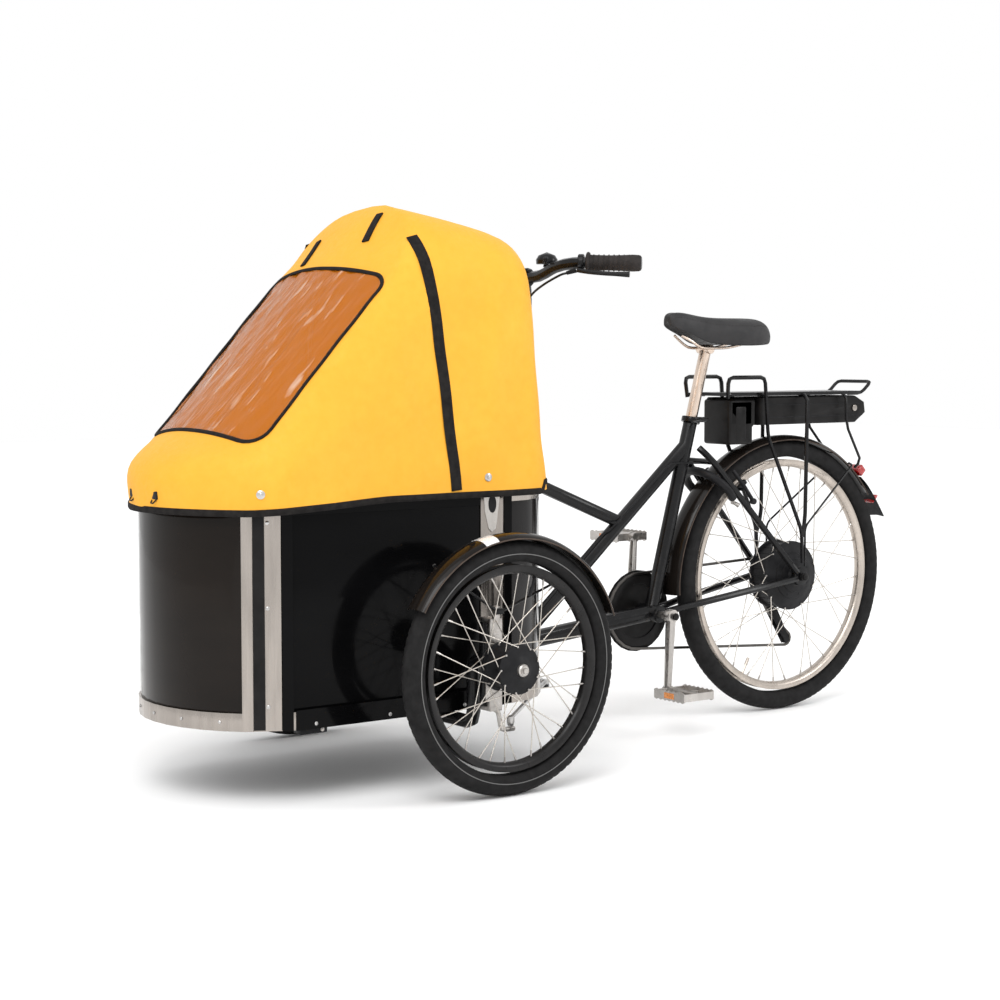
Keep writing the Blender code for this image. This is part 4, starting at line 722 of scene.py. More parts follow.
def build_canopy():
    sheet = canopy_sheet()
    area = surface_area(sheet)
    skin = BVHTree.FromBMesh(sheet)
    film_source = sheet.copy()

    cloth = piece("canopy_cloth", sheet, CLOTH, "frame", 60, ["canopy"])
    trimmed(cloth, window_prism("window_hole", 0.2130, 0.2200, 0.042), "DIFFERENCE", 0.0013)

    bmesh.ops.delete(film_source, geom=[f for f in film_source.faces if f.calc_center_median().x < 1.20],
                     context="FACES")
    film_source.normal_update()
    for vert in film_source.verts:
        x, y, z = vert.co
        ripple = math.sin(y * 60 + z * 41) * math.sin(x * 33 - y * 27)
        ripple += 0.6 * math.sin(y * 121 - z * 83 + 2)
        vert.co += vert.normal * (0.0016 * ripple - 0.0006)
    film = piece("window_film", film_source, FILM, "frame", 60)
    trimmed(film, window_prism("window_edge", 0.2170, 0.2240, 0.044), "INTERSECT", 0.0005)

    # piping round the window, then the binding along the hem
    outline = [Vector(p) for p in window_outline(0.2140, 0.2210, 0.043, 6)]
    path = []
    for here, after in zip(outline, outline[1:] + outline[:1]):
        steps = max(1, int((after - here).length / 0.012))
        for i in range(steps):
            a, b = here.lerp(after, i / steps)
            hit, _, _, _ = skin.ray_cast(window_point(a, b, 0.15), -WINDOW_OUT)
            path.append(hit + WINDOW_OUT * 0.0006)
    bm = sweep(bmesh.new(), path, [(-0.0038, -0.0012), (0.0038, -0.0012), (0.0045, 0.0008), (0.0022, 0.0028),
                                   (-0.0022, 0.0028), (-0.0045, 0.0008)], closed=True,
               up=[WINDOW_OUT] * len(path))
    trim = [piece("window_piping", bm, WEBBING, "frame", 50)]

    rows = canopy_rows()
    hem = rows[0] + [Vector((p.x, -p.y, p.z)) for p in reversed(rows[0][1:-1])]
    loop, normals = [], []
    for p in hem:
        away = Vector((p.x - 1.24, p.y * 1.6, 0)).normalized()
        side = 1 if p.y > 0 else -1
        loop.append(p + Vector((0, p.y, 0)).normalized() * folded(p, side) * 0.8 + Vector((0, 0, -0.001)))
        normals.append(away)
    loop = [p if p.x > 0.92 else p + Vector((0, 0, 0.018)) for p in loop]
    bm = sweep(bmesh.new(), loop, [(-0.006, -0.0016), (0.006, -0.0016), (0.0066, 0.0004), (0.004, 0.0022),
                                   (-0.004, 0.0022), (-0.0066, 0.0004)], closed=True, up=normals)
    trim.append(piece("hem_binding", bm, WEBBING, "frame", 50))

    straps = bmesh.new()
    for side in (1, -1):
        knots = [(1.208, 1.098), (1.200, 1.055), (1.190, 0.960), (1.178, 0.854), (1.163, 0.720),
                 (1.149, 0.594)]
        rays = []
        for i in range(25):
            t = i / 24 * (len(knots) - 1)
            k = min(int(t), len(knots) - 2)
            x = knots[k][0] + (knots[k + 1][0] - knots[k][0]) * (t - k)
            z = knots[k][1] + (knots[k + 1][1] - knots[k][1]) * (t - k)
            rays.append(((x, side * 0.6, z), (0, -side, 0)))
        ribbon(straps, skin, rays, 0.025, 0.0016)
        # short tab above the window
        low, high = Vector((1.262, 0.085, 1.104)), Vector((1.203, 0.060, 1.156))
        if side < 0:
            low, high = Vector((1.302, -0.095, 1.062)), Vector((1.244, -0.110, 1.106))
        rays = [(low.lerp(high, i / 8) + WINDOW_OUT * 0.2, -WINDOW_OUT) for i in range(9)]
        ribbon(straps, skin, rays, 0.017, 0.0030)
    trim.append(piece("canopy_straps", straps, WEBBING, "frame", 50))

    inner = bmesh.new()
    path = [WINDOW_MIDDLE + WINDOW_UP * s - WINDOW_OUT * (0.020 + 0.020 * math.cos(s * 6.5))
            for s in np.linspace(-0.24, 0.27, 18)]
    sweep(inner, path, [(-0.0125, -0.0008), (0.0125, -0.0008), (0.0125, 0.0008), (-0.0125, 0.0008)],
          up=[WINDOW_OUT] * len(path))
    trim.append(piece("inner_strap", inner, WEBBING, "frame", 50))

    snaps = bmesh.new()
    for x, z, side in ((1.585, 0.603, 1), (1.585, 0.603, -1), (1.073, 0.618, 1), (1.073, 0.618, -1)):
        hit, normal, _, _ = skin.ray_cast(Vector((x, side * 0.6, z)), Vector((0, -side, 0)))
        turned([(-0.001, 0.0), (-0.001, 0.0085), (0.0012, 0.0085), (0.0026, 0.0060), (0.0026, 0.0034),
                (0.0042, 0.0034), (0.0048, 0.0020), (0.0048, 0.0)], 20, hit, normal, False, snaps)
    piece("canopy_snaps", snaps, STEEL, "frame")
    clips = bmesh.new()
    for y in (-0.045, 0.045):
        slab((1.7005, y - 0.012, 0.588), (1.7075, y + 0.012, 0.604), 0.002, 2, clips)
        tube(rounded([(1.704, y - 0.008, 0.590), (1.711, y - 0.006, 0.581), (1.711, y + 0.006, 0.581),
                      (1.704, y + 0.008, 0.590)], 0.004), 0.0015, 8, clips)
    piece("canopy_clips", clips, PLASTIC, "frame")


# ---------------------------------------------------------------- saddle
def build_saddle():
    """A padded saddle: lofted, crowned, with a shallow centre channel and a sewn edge."""
    stations = [(0.371, 0.010, 0.949, 0.018), (0.366, 0.016, 0.955, 0.028), (0.354, 0.0225, 0.959, 0.038),
                (0.334, 0.0265, 0.959, 0.046), (0.308, 0.0305, 0.955, 0.051), (0.280, 0.037, 0.950, 0.061),
                (0.245, 0.053, 0.947, 0.065), (0.205, 0.075, 0.947, 0.067), (0.165, 0.0895, 0.947, 0.067),
                (0.133, 0.0885, 0.946, 0.064), (0.114, 0.080, 0.940, 0.056), (0.106, 0.066, 0.932, 0.044)]
    bm = bmesh.new()
    rows = []
    for x, half, top, depth in stations:
        dip = 0.004 * min(1.0, half / 0.05)
        section = [(0.0, -dip), (half * 0.22, -dip * 0.4), (half * 0.48, 0.0), (half * 0.74, -depth * 0.10),
                   (half * 0.93, -depth * 0.34), (half, -depth * 0.66), (half * 0.96, -depth * 0.92),
                   (half * 0.88, -depth), (half * 0.78, -depth * 0.90), (0.0, -depth * 0.62)]
        ring = section + [(-y, z) for y, z in reversed(section[1:-1])]
        rows.append([bm.verts.new((x, y, top + z)) for y, z in ring])
    bridge(bm, rows)
    cover = piece("saddle_pad", bm, LEATHER, "seat", 180, ["saddle"], 2)
    bake(cover)
    for polygon in cover.data.polygons:
        polygon.use_smooth = True

    skin_mesh = bmesh.new()
    skin_mesh.from_mesh(cover.data)
    skin = BVHTree.FromBMesh(skin_mesh)
    stitch = bmesh.new()
    for side in (1, -1):
        for i in range(64):
            t = i / 63
            x = 0.350 - t * 0.232
            half = np.interp(-x, [-s[0] for s in stations], [s[1] for s in stations])
            start = ORIGIN + Vector((x, side * half * 0.86, 1.2))
            hit, normal, _, _ = skin.ray_cast(start, Vector((0, 0, -1)))
            if hit is not None and i % 2 == 0:
                middle = hit - ORIGIN + normal * 0.0002
                along = -Vector((1, 0, 0)).cross(normal).cross(normal).normalized() * 0.0017
                tube([middle - along, middle + along], 0.00045, 6, stitch)
    skin_mesh.free()
    piece("saddle_stitching", stitch, GRIP, "seat")
    shell = bmesh.new()
    path = [(0.352, 0, 0.931), (0.300, 0, 0.921), (0.235, 0, 0.907), (0.118, 0, 0.903)]
    plate = ((-1, 0), (-0.5, -0.006), (0.5, -0.006), (1, 0), (0.5, 0.004), (-0.5, 0.004))
    sweep(shell, path, lambda t: [(w * (0.016 + 0.058 * t ** 2.2), h) for w, h in plate],
          up=[(0, 0, 1)] * 4)
    piece("saddle_base", shell, PLASTIC, "seat", subdivide=1)
    sockets = bmesh.new()
    for side in (1, -1):
        slab((0.126, side * 0.028 - 0.007, 0.884), (0.150, side * 0.028 + 0.007, 0.906), 0.003, 2, sockets)
    piece("saddle_rail_sockets", sockets, PLASTIC, "seat")


# ---------------------------------------------------------------- wheels
def tyre_mesh(centre, radius, blocks):
    """A tyre with a rounded casing, tread blocks cut by grooves, and a rim bead."""
    section_radius = 0.0225
    count = 26
    segments = blocks * 4
    bm = bmesh.new()
    rings = []
    for s in range(segments):
        turn = 2 * math.pi * s / segments
        ring = []
        for i in range(count + 1):
            a = math.radians(-58 + 296 * i / count)
            lean = a - math.pi / 2
            from_middle = abs(i - count // 2)
            r = section_radius
            if abs(lean) < math.radians(56):
                grooved = (s + from_middle * 0.75) % 4 < 1.1 or from_middle in (2, 6)
                if grooved and from_middle > 1:
                    r = section_radius - 0.0011
            elif abs(abs(lean) - math.radians(88)) < math.radians(6):
                r = section_radius - 0.0004
            height = radius - section_radius + r * math.sin(a)
            ring.append(bm.verts.new(around(centre, turn, height, r * math.cos(a))))
        rings.append(ring)
    return bridge(bm, rings, closed=True)


def rim_mesh(centre, radius, bm=None):
    """A box-section rim with hooked walls, a recessed well and a crowned spoke bed."""
    section = [(-0.0128, radius - 0.0035), (-0.0132, radius - 0.0050), (-0.0128, radius - 0.0130),
               (-0.0108, radius - 0.0165), (-0.0070, radius - 0.0202), (-0.0030, radius - 0.0216),
               (0.0030, radius - 0.0216), (0.0070, radius - 0.0202), (0.0108, radius - 0.0165),
               (0.0128, radius - 0.0130), (0.0132, radius - 0.0050), (0.0128, radius - 0.0035),
               (0.0110, radius - 0.0040), (0.0100, radius - 0.0085), (-0.0100, radius - 0.0085),
               (-0.0110, radius - 0.0040)]
    return turned(section, 120, centre, "y", True, bm)


def spoke_mesh(centre, hub_radius, flange_half, rim_radius, shift=0.0):
    """Crossed spokes with nipples at the rim and bent heads at the flanges."""
    centre = Vector(centre)
    wires, nipples = bmesh.new(), bmesh.new()
    inner = rim_radius - 0.0208
    for i in range(SPOKES):
        side = 1 if i % 2 else -1
        lean = 1 if (i // 2) % 2 else -1
        rim_angle = 2 * math.pi * (i + 0.5) / SPOKES
        hub_angle = rim_angle + lean * math.radians(48)
        flange = shift + side * (flange_half + lean * 0.0030)
        start = around(centre, hub_angle, hub_radius * 0.965, flange)
        end = around(centre, rim_angle, inner, side * 0.003)
        tube([start, end], 0.00115, 7, wires)
        aim = (start - end).normalized()
        taper(end - aim * 0.001, end + aim * 0.012, 0.0021, 0.0018, 8, nipples)
        turned([(-0.0016, 0.0), (-0.0016, 0.0020), (0.0016, 0.0020), (0.0016, 0.0)], 8, start, "y",
               False, nipples)
    return wires, nipples


def valve(centre, rim_radius, angle, bm):
    direction = Vector((math.cos(angle), 0, math.sin(angle)))
    foot = Vector(centre) + direction * (rim_radius - 0.0215)
    taper(foot + direction * 0.002, foot - direction * 0.022, 0.0030, 0.0028, 10, bm)
    return taper(foot - direction * 0.022, foot - direction * 0.040, 0.0040, 0.0036, 12, bm)


def front_wheel(word, side):
    centre = Vector((WHEELBASE, side * HALF_TRACK, FRONT_AXLE_Z))
    body = f"wheel_front_{word}"
    piece(f"tyre_{word}", tyre_mesh(centre, FRONT_TYRE, 84), TYRE, body, 40,
          [f"tyre_front_{word}"])
    band = bmesh.new()
    for face in (1, -1):
        y = face * 0.0222
        line = [(y - 0.0004, 0.2250), (y + 0.0005, 0.2250), (y + 0.0004, 0.2268), (y - 0.0005, 0.2268)]
        turned(line, 120, centre, "y", True, band)
    piece(f"reflective_line_{word}", band, SIDEWALL, body)
    piece(f"rim_{word}", rim_mesh(centre, FRONT_RIM), RIM, body, 30, [f"rim_front_{word}"])
    wires, nipples = spoke_mesh(centre, 0.0475, 0.028, FRONT_RIM)
    piece(f"spokes_{word}", wires, SPOKE_STEEL, body, 60, [f"spokes_front_{word}"])
    piece(f"nipples_{word}", nipples, CAST_ALUMINIUM, body, 40)
    shell = [(-0.0305, 0.0440), (-0.0312, 0.0475), (-0.0295, 0.0490), (-0.0255, 0.0490), (-0.0245, 0.0430),
             (-0.0150, 0.0400), (0.0150, 0.0345), (0.0235, 0.0360), (0.0255, 0.0490), (0.0295, 0.0490),
             (0.0305, 0.0450), (0.0310, 0.0300), (0.0330, 0.0250), (0.0370, 0.0160), (0.0385, 0.0140),
             (0.0385, 0.0068), (-0.0200, 0.0068), (-0.0200, 0.0380)]
    hub = turned([(along * side, radius) for along, radius in shell], 64, centre)
    valve(centre, FRONT_RIM, 1.9, hub)
    piece(f"drum_hub_{word}", hub, PLASTIC, body, 28, [f"hub_front_{word}"])
    cap = turned([(0.0385, 0.0), (0.0385, 0.0130), (0.0440, 0.0125), (0.0465, 0.0100), (0.0470, 0.0)], 32,
                 centre, Vector((0, side, 0)), False)
    bolt(centre + Vector((0, side * 0.0465, 0)), (0, side, 0), 0.0062, 0.006, cap)
    piece(f"hub_cap_{word}", cap, CAST_ALUMINIUM, body)


def rear_wheel():
    centre = Vector((0, 0, REAR_AXLE_Z))
    piece("tyre_rear", tyre_mesh(centre, REAR_TYRE, 108), TYRE, "wheel_rear", 40,
          ["rear_tyre"])
    rim = rim_mesh(centre, REAR_RIM)
    valve(centre, REAR_RIM, 5.2, rim)
    piece("rim_rear", rim, RIM_SILVER, "wheel_rear", 30, ["rear_rim"])
    wires, nipples = spoke_mesh(centre, 0.0835, 0.026, REAR_RIM, 0.006)
    piece("spokes_rear", wires, SPOKE_STEEL, "wheel_rear", 60, ["rear_spokes"])
    piece("nipples_rear", nipples, CAST_ALUMINIUM, "wheel_rear", 40)
    motor = [(-0.0342, 0.0068), (-0.0342, 0.0290), (-0.0310, 0.0340), (-0.0240, 0.0710), (-0.0228, 0.0760),
             (-0.0222, 0.0835), (-0.0182, 0.0835), (-0.0176, 0.0770), (0.0296, 0.0770), (0.0302, 0.0835),
             (0.0342, 0.0835), (0.0348, 0.0770), (0.0400, 0.0650), (0.0420, 0.0560), (0.0440, 0.0550),
             (0.0470, 0.0400), (0.0490, 0.0390), (0.0515, 0.0250), (0.0570, 0.0210), (0.0577, 0.0200),
             (0.0577, 0.0068)]
    hub = turned(motor, 72, centre)
    for i in range(8):
        bolt(around(centre, math.radians(22.5 + 45 * i), 0.048, 0.0432), (0, 1, 0), 0.0028, 0.0030, hub)
    for i in range(24):
        a = 2 * math.pi * i / 24
        tube([around(centre, a, 0.0765, y) for y in (-0.015, 0.027)], 0.0016, 6, hub)
    piece("motor_shell", hub, PLASTIC, "wheel_rear", 28, ["hub_motor"])


def guard_mesh(centre, radius_of, half, start, end, steps, depth=0.0105):
    """A thin arched guard round part of a wheel; its rolled edges are made separately by guard_edges."""
    bm = bmesh.new()
    outer = [(half * math.sin(a), 0.0015 - depth * (1 - math.cos(a)) * 1.35)
             for a in [math.radians(d) for d in range(-75, 76, 15)]]
    inner = [(y * 0.955, rise - 0.0020) for y, rise in reversed(outer)]
    section = outer + inner
    rows = []
    for i in range(steps + 1):
        degrees = start + (end - start) * i / steps
        rows.append([bm.verts.new(around(centre, math.radians(degrees), radius_of(degrees) + rise, y))
                     for y, rise in section])
    return bridge(bm, rows)


def guard_edges(centre, radius_of, half, start, end, steps, depth=0.0105):
    bm = bmesh.new()
    drop = 0.0015 - depth * (1 - math.cos(math.radians(75))) * 1.35
    for side in (1, -1):
        path = []
        for i in range(steps + 1):
            degrees = start + (end - start) * i / steps
            r = radius_of(degrees) + drop - 0.001
            path.append(around(centre, math.radians(degrees), r, side * half * 0.955))
        tube(path, 0.0015, 8, bm)
    return bm


def front_guard(word, side):
    centre = Vector((WHEELBASE, side * HALF_TRACK, FRONT_AXLE_Z))
    body = f"knuckle_{word}"

    def radius(degrees):
        return FRONT_GUARD

    guard = guard_mesh(centre, radius, GUARD_HALF_WIDTH, 30, 160, 64)
    piece(f"fender_{word}_shell", guard, GUARD, body, 40, [f"fender_{word}"])
    edges = guard_edges(centre, radius, GUARD_HALF_WIDTH, 30, 160, 64)
    piece(f"fender_{word}_edge", edges, GUARD_EDGE, body, 60)
    stays = bmesh.new()
    for degrees in (52.0, 138.0):
        tip = around((0, 0, 0), math.radians(degrees), FRONT_GUARD)
        foot = (WHEELBASE + tip.x * 0.03, side * 0.3635, 0.360)
        edge = (WHEELBASE + tip.x, side * 0.366, FRONT_AXLE_Z + tip.z)
        hook = (WHEELBASE + tip.x, side * 0.380, FRONT_AXLE_Z + tip.z)
        tube(rounded([foot, edge, hook], 0.014, 6), 0.0026, 12, stays)
    side_slab(side, (WHEELBASE - 0.010, WHEELBASE + 0.010), (0.360, 0.367), (0.354, 0.366), 0.0015, 2, stays)
    piece(f"fender_{word}_stays", stays, BLACK, body, 40)
    fittings = bmesh.new()
    for degrees in (52, 138):
        spot = around(centre, math.radians(degrees), FRONT_GUARD - 0.0005, -side * 0.024)
        bolt(spot, Vector((0, -side, 0)), 0.0030, 0.0035, fittings)
    piece(f"fender_{word}_bolts", fittings, STEEL, body)


def rear_guard_radius(degrees):
    return 0.3380 + 0.0225 * max(0.0, 1.0 - max(0.0, degrees) / 85.0) ** 1.3


def rear_guard():
    centre = Vector((0, 0, REAR_AXLE_Z))
    guard = guard_mesh(centre, rear_guard_radius, REAR_GUARD_HALF_WIDTH, -4, 146, 96)
    piece("mudguard_shell", guard, GUARD, "frame", 40)
    edges = guard_edges(centre, rear_guard_radius, REAR_GUARD_HALF_WIDTH, -4, 146, 96)
    piece("mudguard_edge", edges, GUARD_EDGE, "frame", 60)
    stays = bmesh.new()
    for side in (1, -1):
        tip = around(centre, math.radians(128), 0.336, side * 0.034)
        path = rounded([tip + Vector((0, -side * 0.010, 0)), tip + Vector((0.004, side * 0.006, -0.004)),
                        (-0.016, side * 0.0665, 0.447), (-0.0165, side * 0.0665, 0.352)], 0.016, 6)
        tube(path, 0.0025, 12, stays)
    piece("mudguard_stays", stays, BLACK, "frame", 40, ["rear_mudguard"])
    flap = bmesh.new()
    path = smooth_path([(-0.2480, 0, 0.5560), (-0.2700, 0, 0.5350), (-0.3000, 0, 0.4980),
                        (-0.3320, 0, 0.4545)], 14)
    sweep(flap, path, lambda t: [(y * (0.0275 + 0.002 * math.sin(math.pi * t)), h + 0.0035 * (1 - abs(y)))
                                 for y, h in ((-1, 0), (-0.85, 0.0008), (0, 0.0012), (0.85, 0.0008), (1, 0),
                                              (0.85, -0.0010), (0, -0.0006), (-0.85, -0.0010))],
          up=[(-0.74, 0, 0.67)] * len(path))
    piece("mudguard_flap", flap, PLASTIC, "frame", 50)


# ---------------------------------------------------------------- box trim
def on_strip(t, out, side):
    """A point on the slanted front corner of the box in plan, t from front to rear."""
    return (1.600 - 0.080 * t + 0.4646 * out, side * (0.200 + 0.042 * t + 0.885 * out))


def box_outline(out):
    """The box's plan from the left rear, round the front, with outward normals."""
    half = [((x, BOX_HALF_WIDTH), (0, 1)) for x in (1.020, 1.300, 1.515)]
    half += [((1.526, 0.2395), (0.26, 0.965)), ((1.592, 0.2045), (0.48, 0.875)),
             ((1.601, 0.1985), (0.60, 0.80))]
    for degrees in range(42, -1, -6):
        a = math.radians(degrees)
        half.append(((1.407 + 0.278 * math.cos(a), 0.278 * math.sin(a)), (math.cos(a), math.sin(a))))
    whole = half + [((p[0], -p[1]), (n[0], -n[1])) for p, n in reversed(half[:-1])]
    points = [Vector((p[0] + n[0] * out, p[1] + n[1] * out, 0)) for p, n in whole]
    return points, [Vector((n[0], n[1], 0)) for _, n in whole]


def flat_band(low, high, thickness):
    middle, half = (low + high) / 2, (high - low) / 2
    return middle, [(-half, -thickness), (half, -thickness), (half, thickness), (-half, thickness)]


def rivet(spot, normal, radii, heights, sides, bm):
    """A domed head: its radius at the foot and at two heights, and the height of its top."""
    profile = [(0.0, 0.0), (0.0, radii[0]), (heights[0], radii[1]), (heights[1], radii[2]), (heights[2], 0.0)]
    return turned(profile, sides, spot, normal, False, bm)


def build_box_trim():
    bm = bmesh.new()
    middle, section = flat_band(0.560, 0.6005, 0.0006)
    points, normals = box_outline(0.0010)
    sweep(bm, [p + Vector((0, 0, middle)) for p in points], section, up=normals)
    middle, section = flat_band(0.1480, 0.1870, 0.0006)
    for side in (1, -1):
        path = [Vector((x, side * (BOX_HALF_WIDTH + 0.0052), middle)) for x in (1.018, 1.250, 1.514)]
        sweep(bm, path, section, up=[(0, side, 0)] * 3)
        edge = ((0.80, 0.0004), (1.03, 0.0004), (1.03, 0.0054), (0.80, 0.0054))
        prism([on_strip(t, out, side) for t, out in edge], "z", 0.149, 0.588, bm)
        side_slab(side, (1.000, 1.019), (0.2424, 0.2470), (0.150, 0.588), 0.0004, 1, bm)
    piece("box_panel_edges", bm, GLOSS, "frame", 30)

    trims, core, rivets = bmesh.new(), bmesh.new(), bmesh.new()
    for side in (1, -1):
        for start, end, lift in ((-0.05, 0.20, 0.0054), (0.43, 0.80, 0.0056)):
            edge = ((start, 0.0003), (end, 0.0003), (end, lift * 0.7), (end - 0.02, lift),
                    (start + 0.02, lift), (start, lift * 0.7))
            prism([on_strip(t, out, side) for t, out in edge], "z", 0.150, 0.588, trims)
        edge = ((0.18, 0.0003), (0.45, 0.0003), (0.45, 0.0047), (0.315, 0.0043), (0.18, 0.0047))
        outline = [on_strip(t, out, side) for t, out in edge]
        prism(outline, "z", 0.151, 0.588, core)
        normal = Vector((0.4646, side * 0.885, 0))
        for t, z in ((0.50, 0.196), (0.50, 0.385), (0.50, 0.548)):
            x, y = on_strip(t, 0.0054, side)
            rivet((x, y, z), normal, (0.0042, 0.0040, 0.0026), (0.0010, 0.0021, 0.0026), 18, rivets)
        for x, z in ((1.046, 0.575), (1.046, 0.200), (1.470, 0.158), (1.300, 0.158), (1.120, 0.158)):
            spot = (x, side * (0.2477 if z < 0.19 else 0.2442), z)
            rivet(spot, (0, side, 0), (0.0040, 0.0038, 0.0026), (0.0010, 0.0020, 0.0025), 16, rivets)
    for degrees in (-36, -18, 0, 18, 36):
        a = math.radians(degrees)
        normal = Vector((math.cos(a), math.sin(a), 0))
        spot = Vector((1.407, 0, 0.1665)) + normal * 0.2822
        rivet(spot, normal, (0.0034, 0.0032, 0.0022), (0.0009, 0.0018, 0.0022), 16, rivets)
    piece("corner_trims", trims, ALUMINIUM, "frame", 25)
    piece("corner_trim_core", core, FINE_PLASTIC, "frame", 25)
    piece("box_rivets", rivets, STEEL, "frame")

    latch, dark = bmesh.new(), bmesh.new()
    for side in (1, -1):
        low, high = sorted((side * 0.2430, side * 0.2462))
        outline = [(1.028, 0.592), (1.071, 0.592), (1.068, 0.548), (1.058, 0.512), (1.050, 0.505),
                   (1.040, 0.512)]
        prism(outline, "y", low, high, latch)
        ring = [(1.049 + 0.0095 * math.cos(a), 0.562 + 0.018 * math.sin(a))
                for a in [2 * math.pi * k / 28 for k in range(28)]]
        low, high = sorted((side * 0.2455, side * 0.2470))
        prism(ring, "y", low, high, dark)
        side_slab(side, (1.440, 1.500), (0.212, 0.240), (0.1370, 0.1490), 0.002, 2, dark)
        bolt(Vector((1.452, side * 0.2405, 0.1435)), (0, side, 0), 0.0028, 0.003, latch)
    piece("latch_plates", latch, CAST_ALUMINIUM, "frame", 30)
    piece("latch_slots", dark, PLASTIC, "frame", 30)


# ---------------------------------------------------------------- controls
def bar_side(side):
    tip = Vector((0.685, side * 0.281, 1.055))
    along = Vector((0.68976, -side * 0.72391, 0.01366)).normalized()
    return tip, along


def build_controls():
    for word, side in SIDES:
        tip, along = bar_side(side)
        end = 0.1175 if side > 0 else 0.0835
        profile = [(0.0005, 0.0), (0.0005, 0.0125), (0.0020, 0.0155), (0.0060, 0.0172), (0.0200, 0.0178),
                   (0.0450, 0.0166), (end * 0.62, 0.0160), (end * 0.85, 0.0168), (end - 0.0085, 0.0172),
                   (end - 0.0075, 0.0215), (end - 0.0045, 0.0232), (end - 0.0015, 0.0222), (end, 0.0190),
                   (end, 0.0132), (end, 0.0)]
        grip = turned(profile, 40, tip, along, False)
        for i in range(9):
            a = 0.016 + i * (end - 0.032) / 8
            ridge = [(a - 0.0012, 0.0150), (a - 0.0008, 0.0178), (a + 0.0008, 0.0178), (a + 0.0012, 0.0150)]
            turned(ridge, 40, tip, along, True, grip)
        piece(f"grip_{word}_rubber", grip, GRIP, "steering", 40, [f"grip_{word}"])
        collar = [(0.1225, 0.0130), (0.1225, 0.0172), (0.1245, 0.0180), (0.1325, 0.0180),
                  (0.1345, 0.0172), (0.1345, 0.0130)]
        clamp = turned(collar, 32, tip, along, True)
        root = tip + along * 0.1285
        barrel = root + Vector((0.020, side * 0.008, -0.016))
        aim = along * 0.9 + Vector((0.03, 0, -0.30))
        taper(barrel, barrel + aim * 0.022, 0.0058, 0.0040, 16, clamp)
        bolt(root + Vector((0, 0, -0.0170)), (0.15, 0, -1), 0.0028, 0.0035, clamp)
        piece(f"lever_clamp_{word}", clamp, FINE_PLASTIC, "steering", 35)
        # brake cable housing: out of the lever, round in front of the bar, down to the column
        start = barrel + aim * 0.0215
        knots = [start, start + aim * 0.016, Vector((0.826, side * 0.128, 1.012)),
                 Vector((0.820, side * 0.078, 0.992)), Vector((0.812, side * 0.040, 0.965)),
                 Vector((0.804, side * 0.017, 0.925)), Vector((0.7985, side * 0.0095, 0.880))]
        hose("brake_housing_" + word, knots, 0.0025)
    # shift cable from the twist grip
    tip, along = bar_side(-1)
    start = tip + along * 0.121 + Vector((0.006, 0, -0.017))
    hose("shift_housing", [start, start + along * 0.045 + Vector((0.004, 0, -0.008)),
                           Vector((0.815, -0.105, 1.000)), Vector((0.818, -0.058, 0.962)),
                           Vector((0.810, -0.026, 0.915)), Vector((0.7985, -0.0155, 0.868))], 0.0021)
    bands = bmesh.new()
    for z in (0.875, 0.800):
        band = [(-0.004, 0.0152), (-0.004, 0.0168), (0.004, 0.0168), (0.004, 0.0152)]
        turned(band, 32, (STEER_X, 0, z), "z", True, bands)
    cap = Vector((0.790, 0.0, 1.030))
    for y in (-0.013, 0.013):
        for z in (0.011, -0.011):
            bolt(cap + Vector((0.0195, y, z)), (1, 0, 0), 0.0026, 0.004, bands)
    piece("column_bands", bands, PLASTIC, "steering")
    bell = bmesh.new()
    place = Vector((0.778, 0.075, 1.067))
    tube(rounded([place + Vector((0.014, 0.010, -0.010)), place + Vector((0.026, 0.022, -0.006)),
                  place + Vector((0.030, 0.034, 0.000))], 0.006), 0.0022, 10, bell)
    turned([(0.0, 0.0), (0.0, 0.0045), (0.003, 0.0055), (0.006, 0.0040), (0.0065, 0.0)], 20,
           place + Vector((0.030, 0.034, -0.003)), "z", False, bell)
    piece("bell_striker", bell, PLASTIC, "steering")


def hose(name, knots, radius):
    """A cable housing that starts and ends on the steering."""
    path = smooth_path(knots, 36)
    made = piece(name, tube(path, radius, 12), HOSE, "steering", 60)


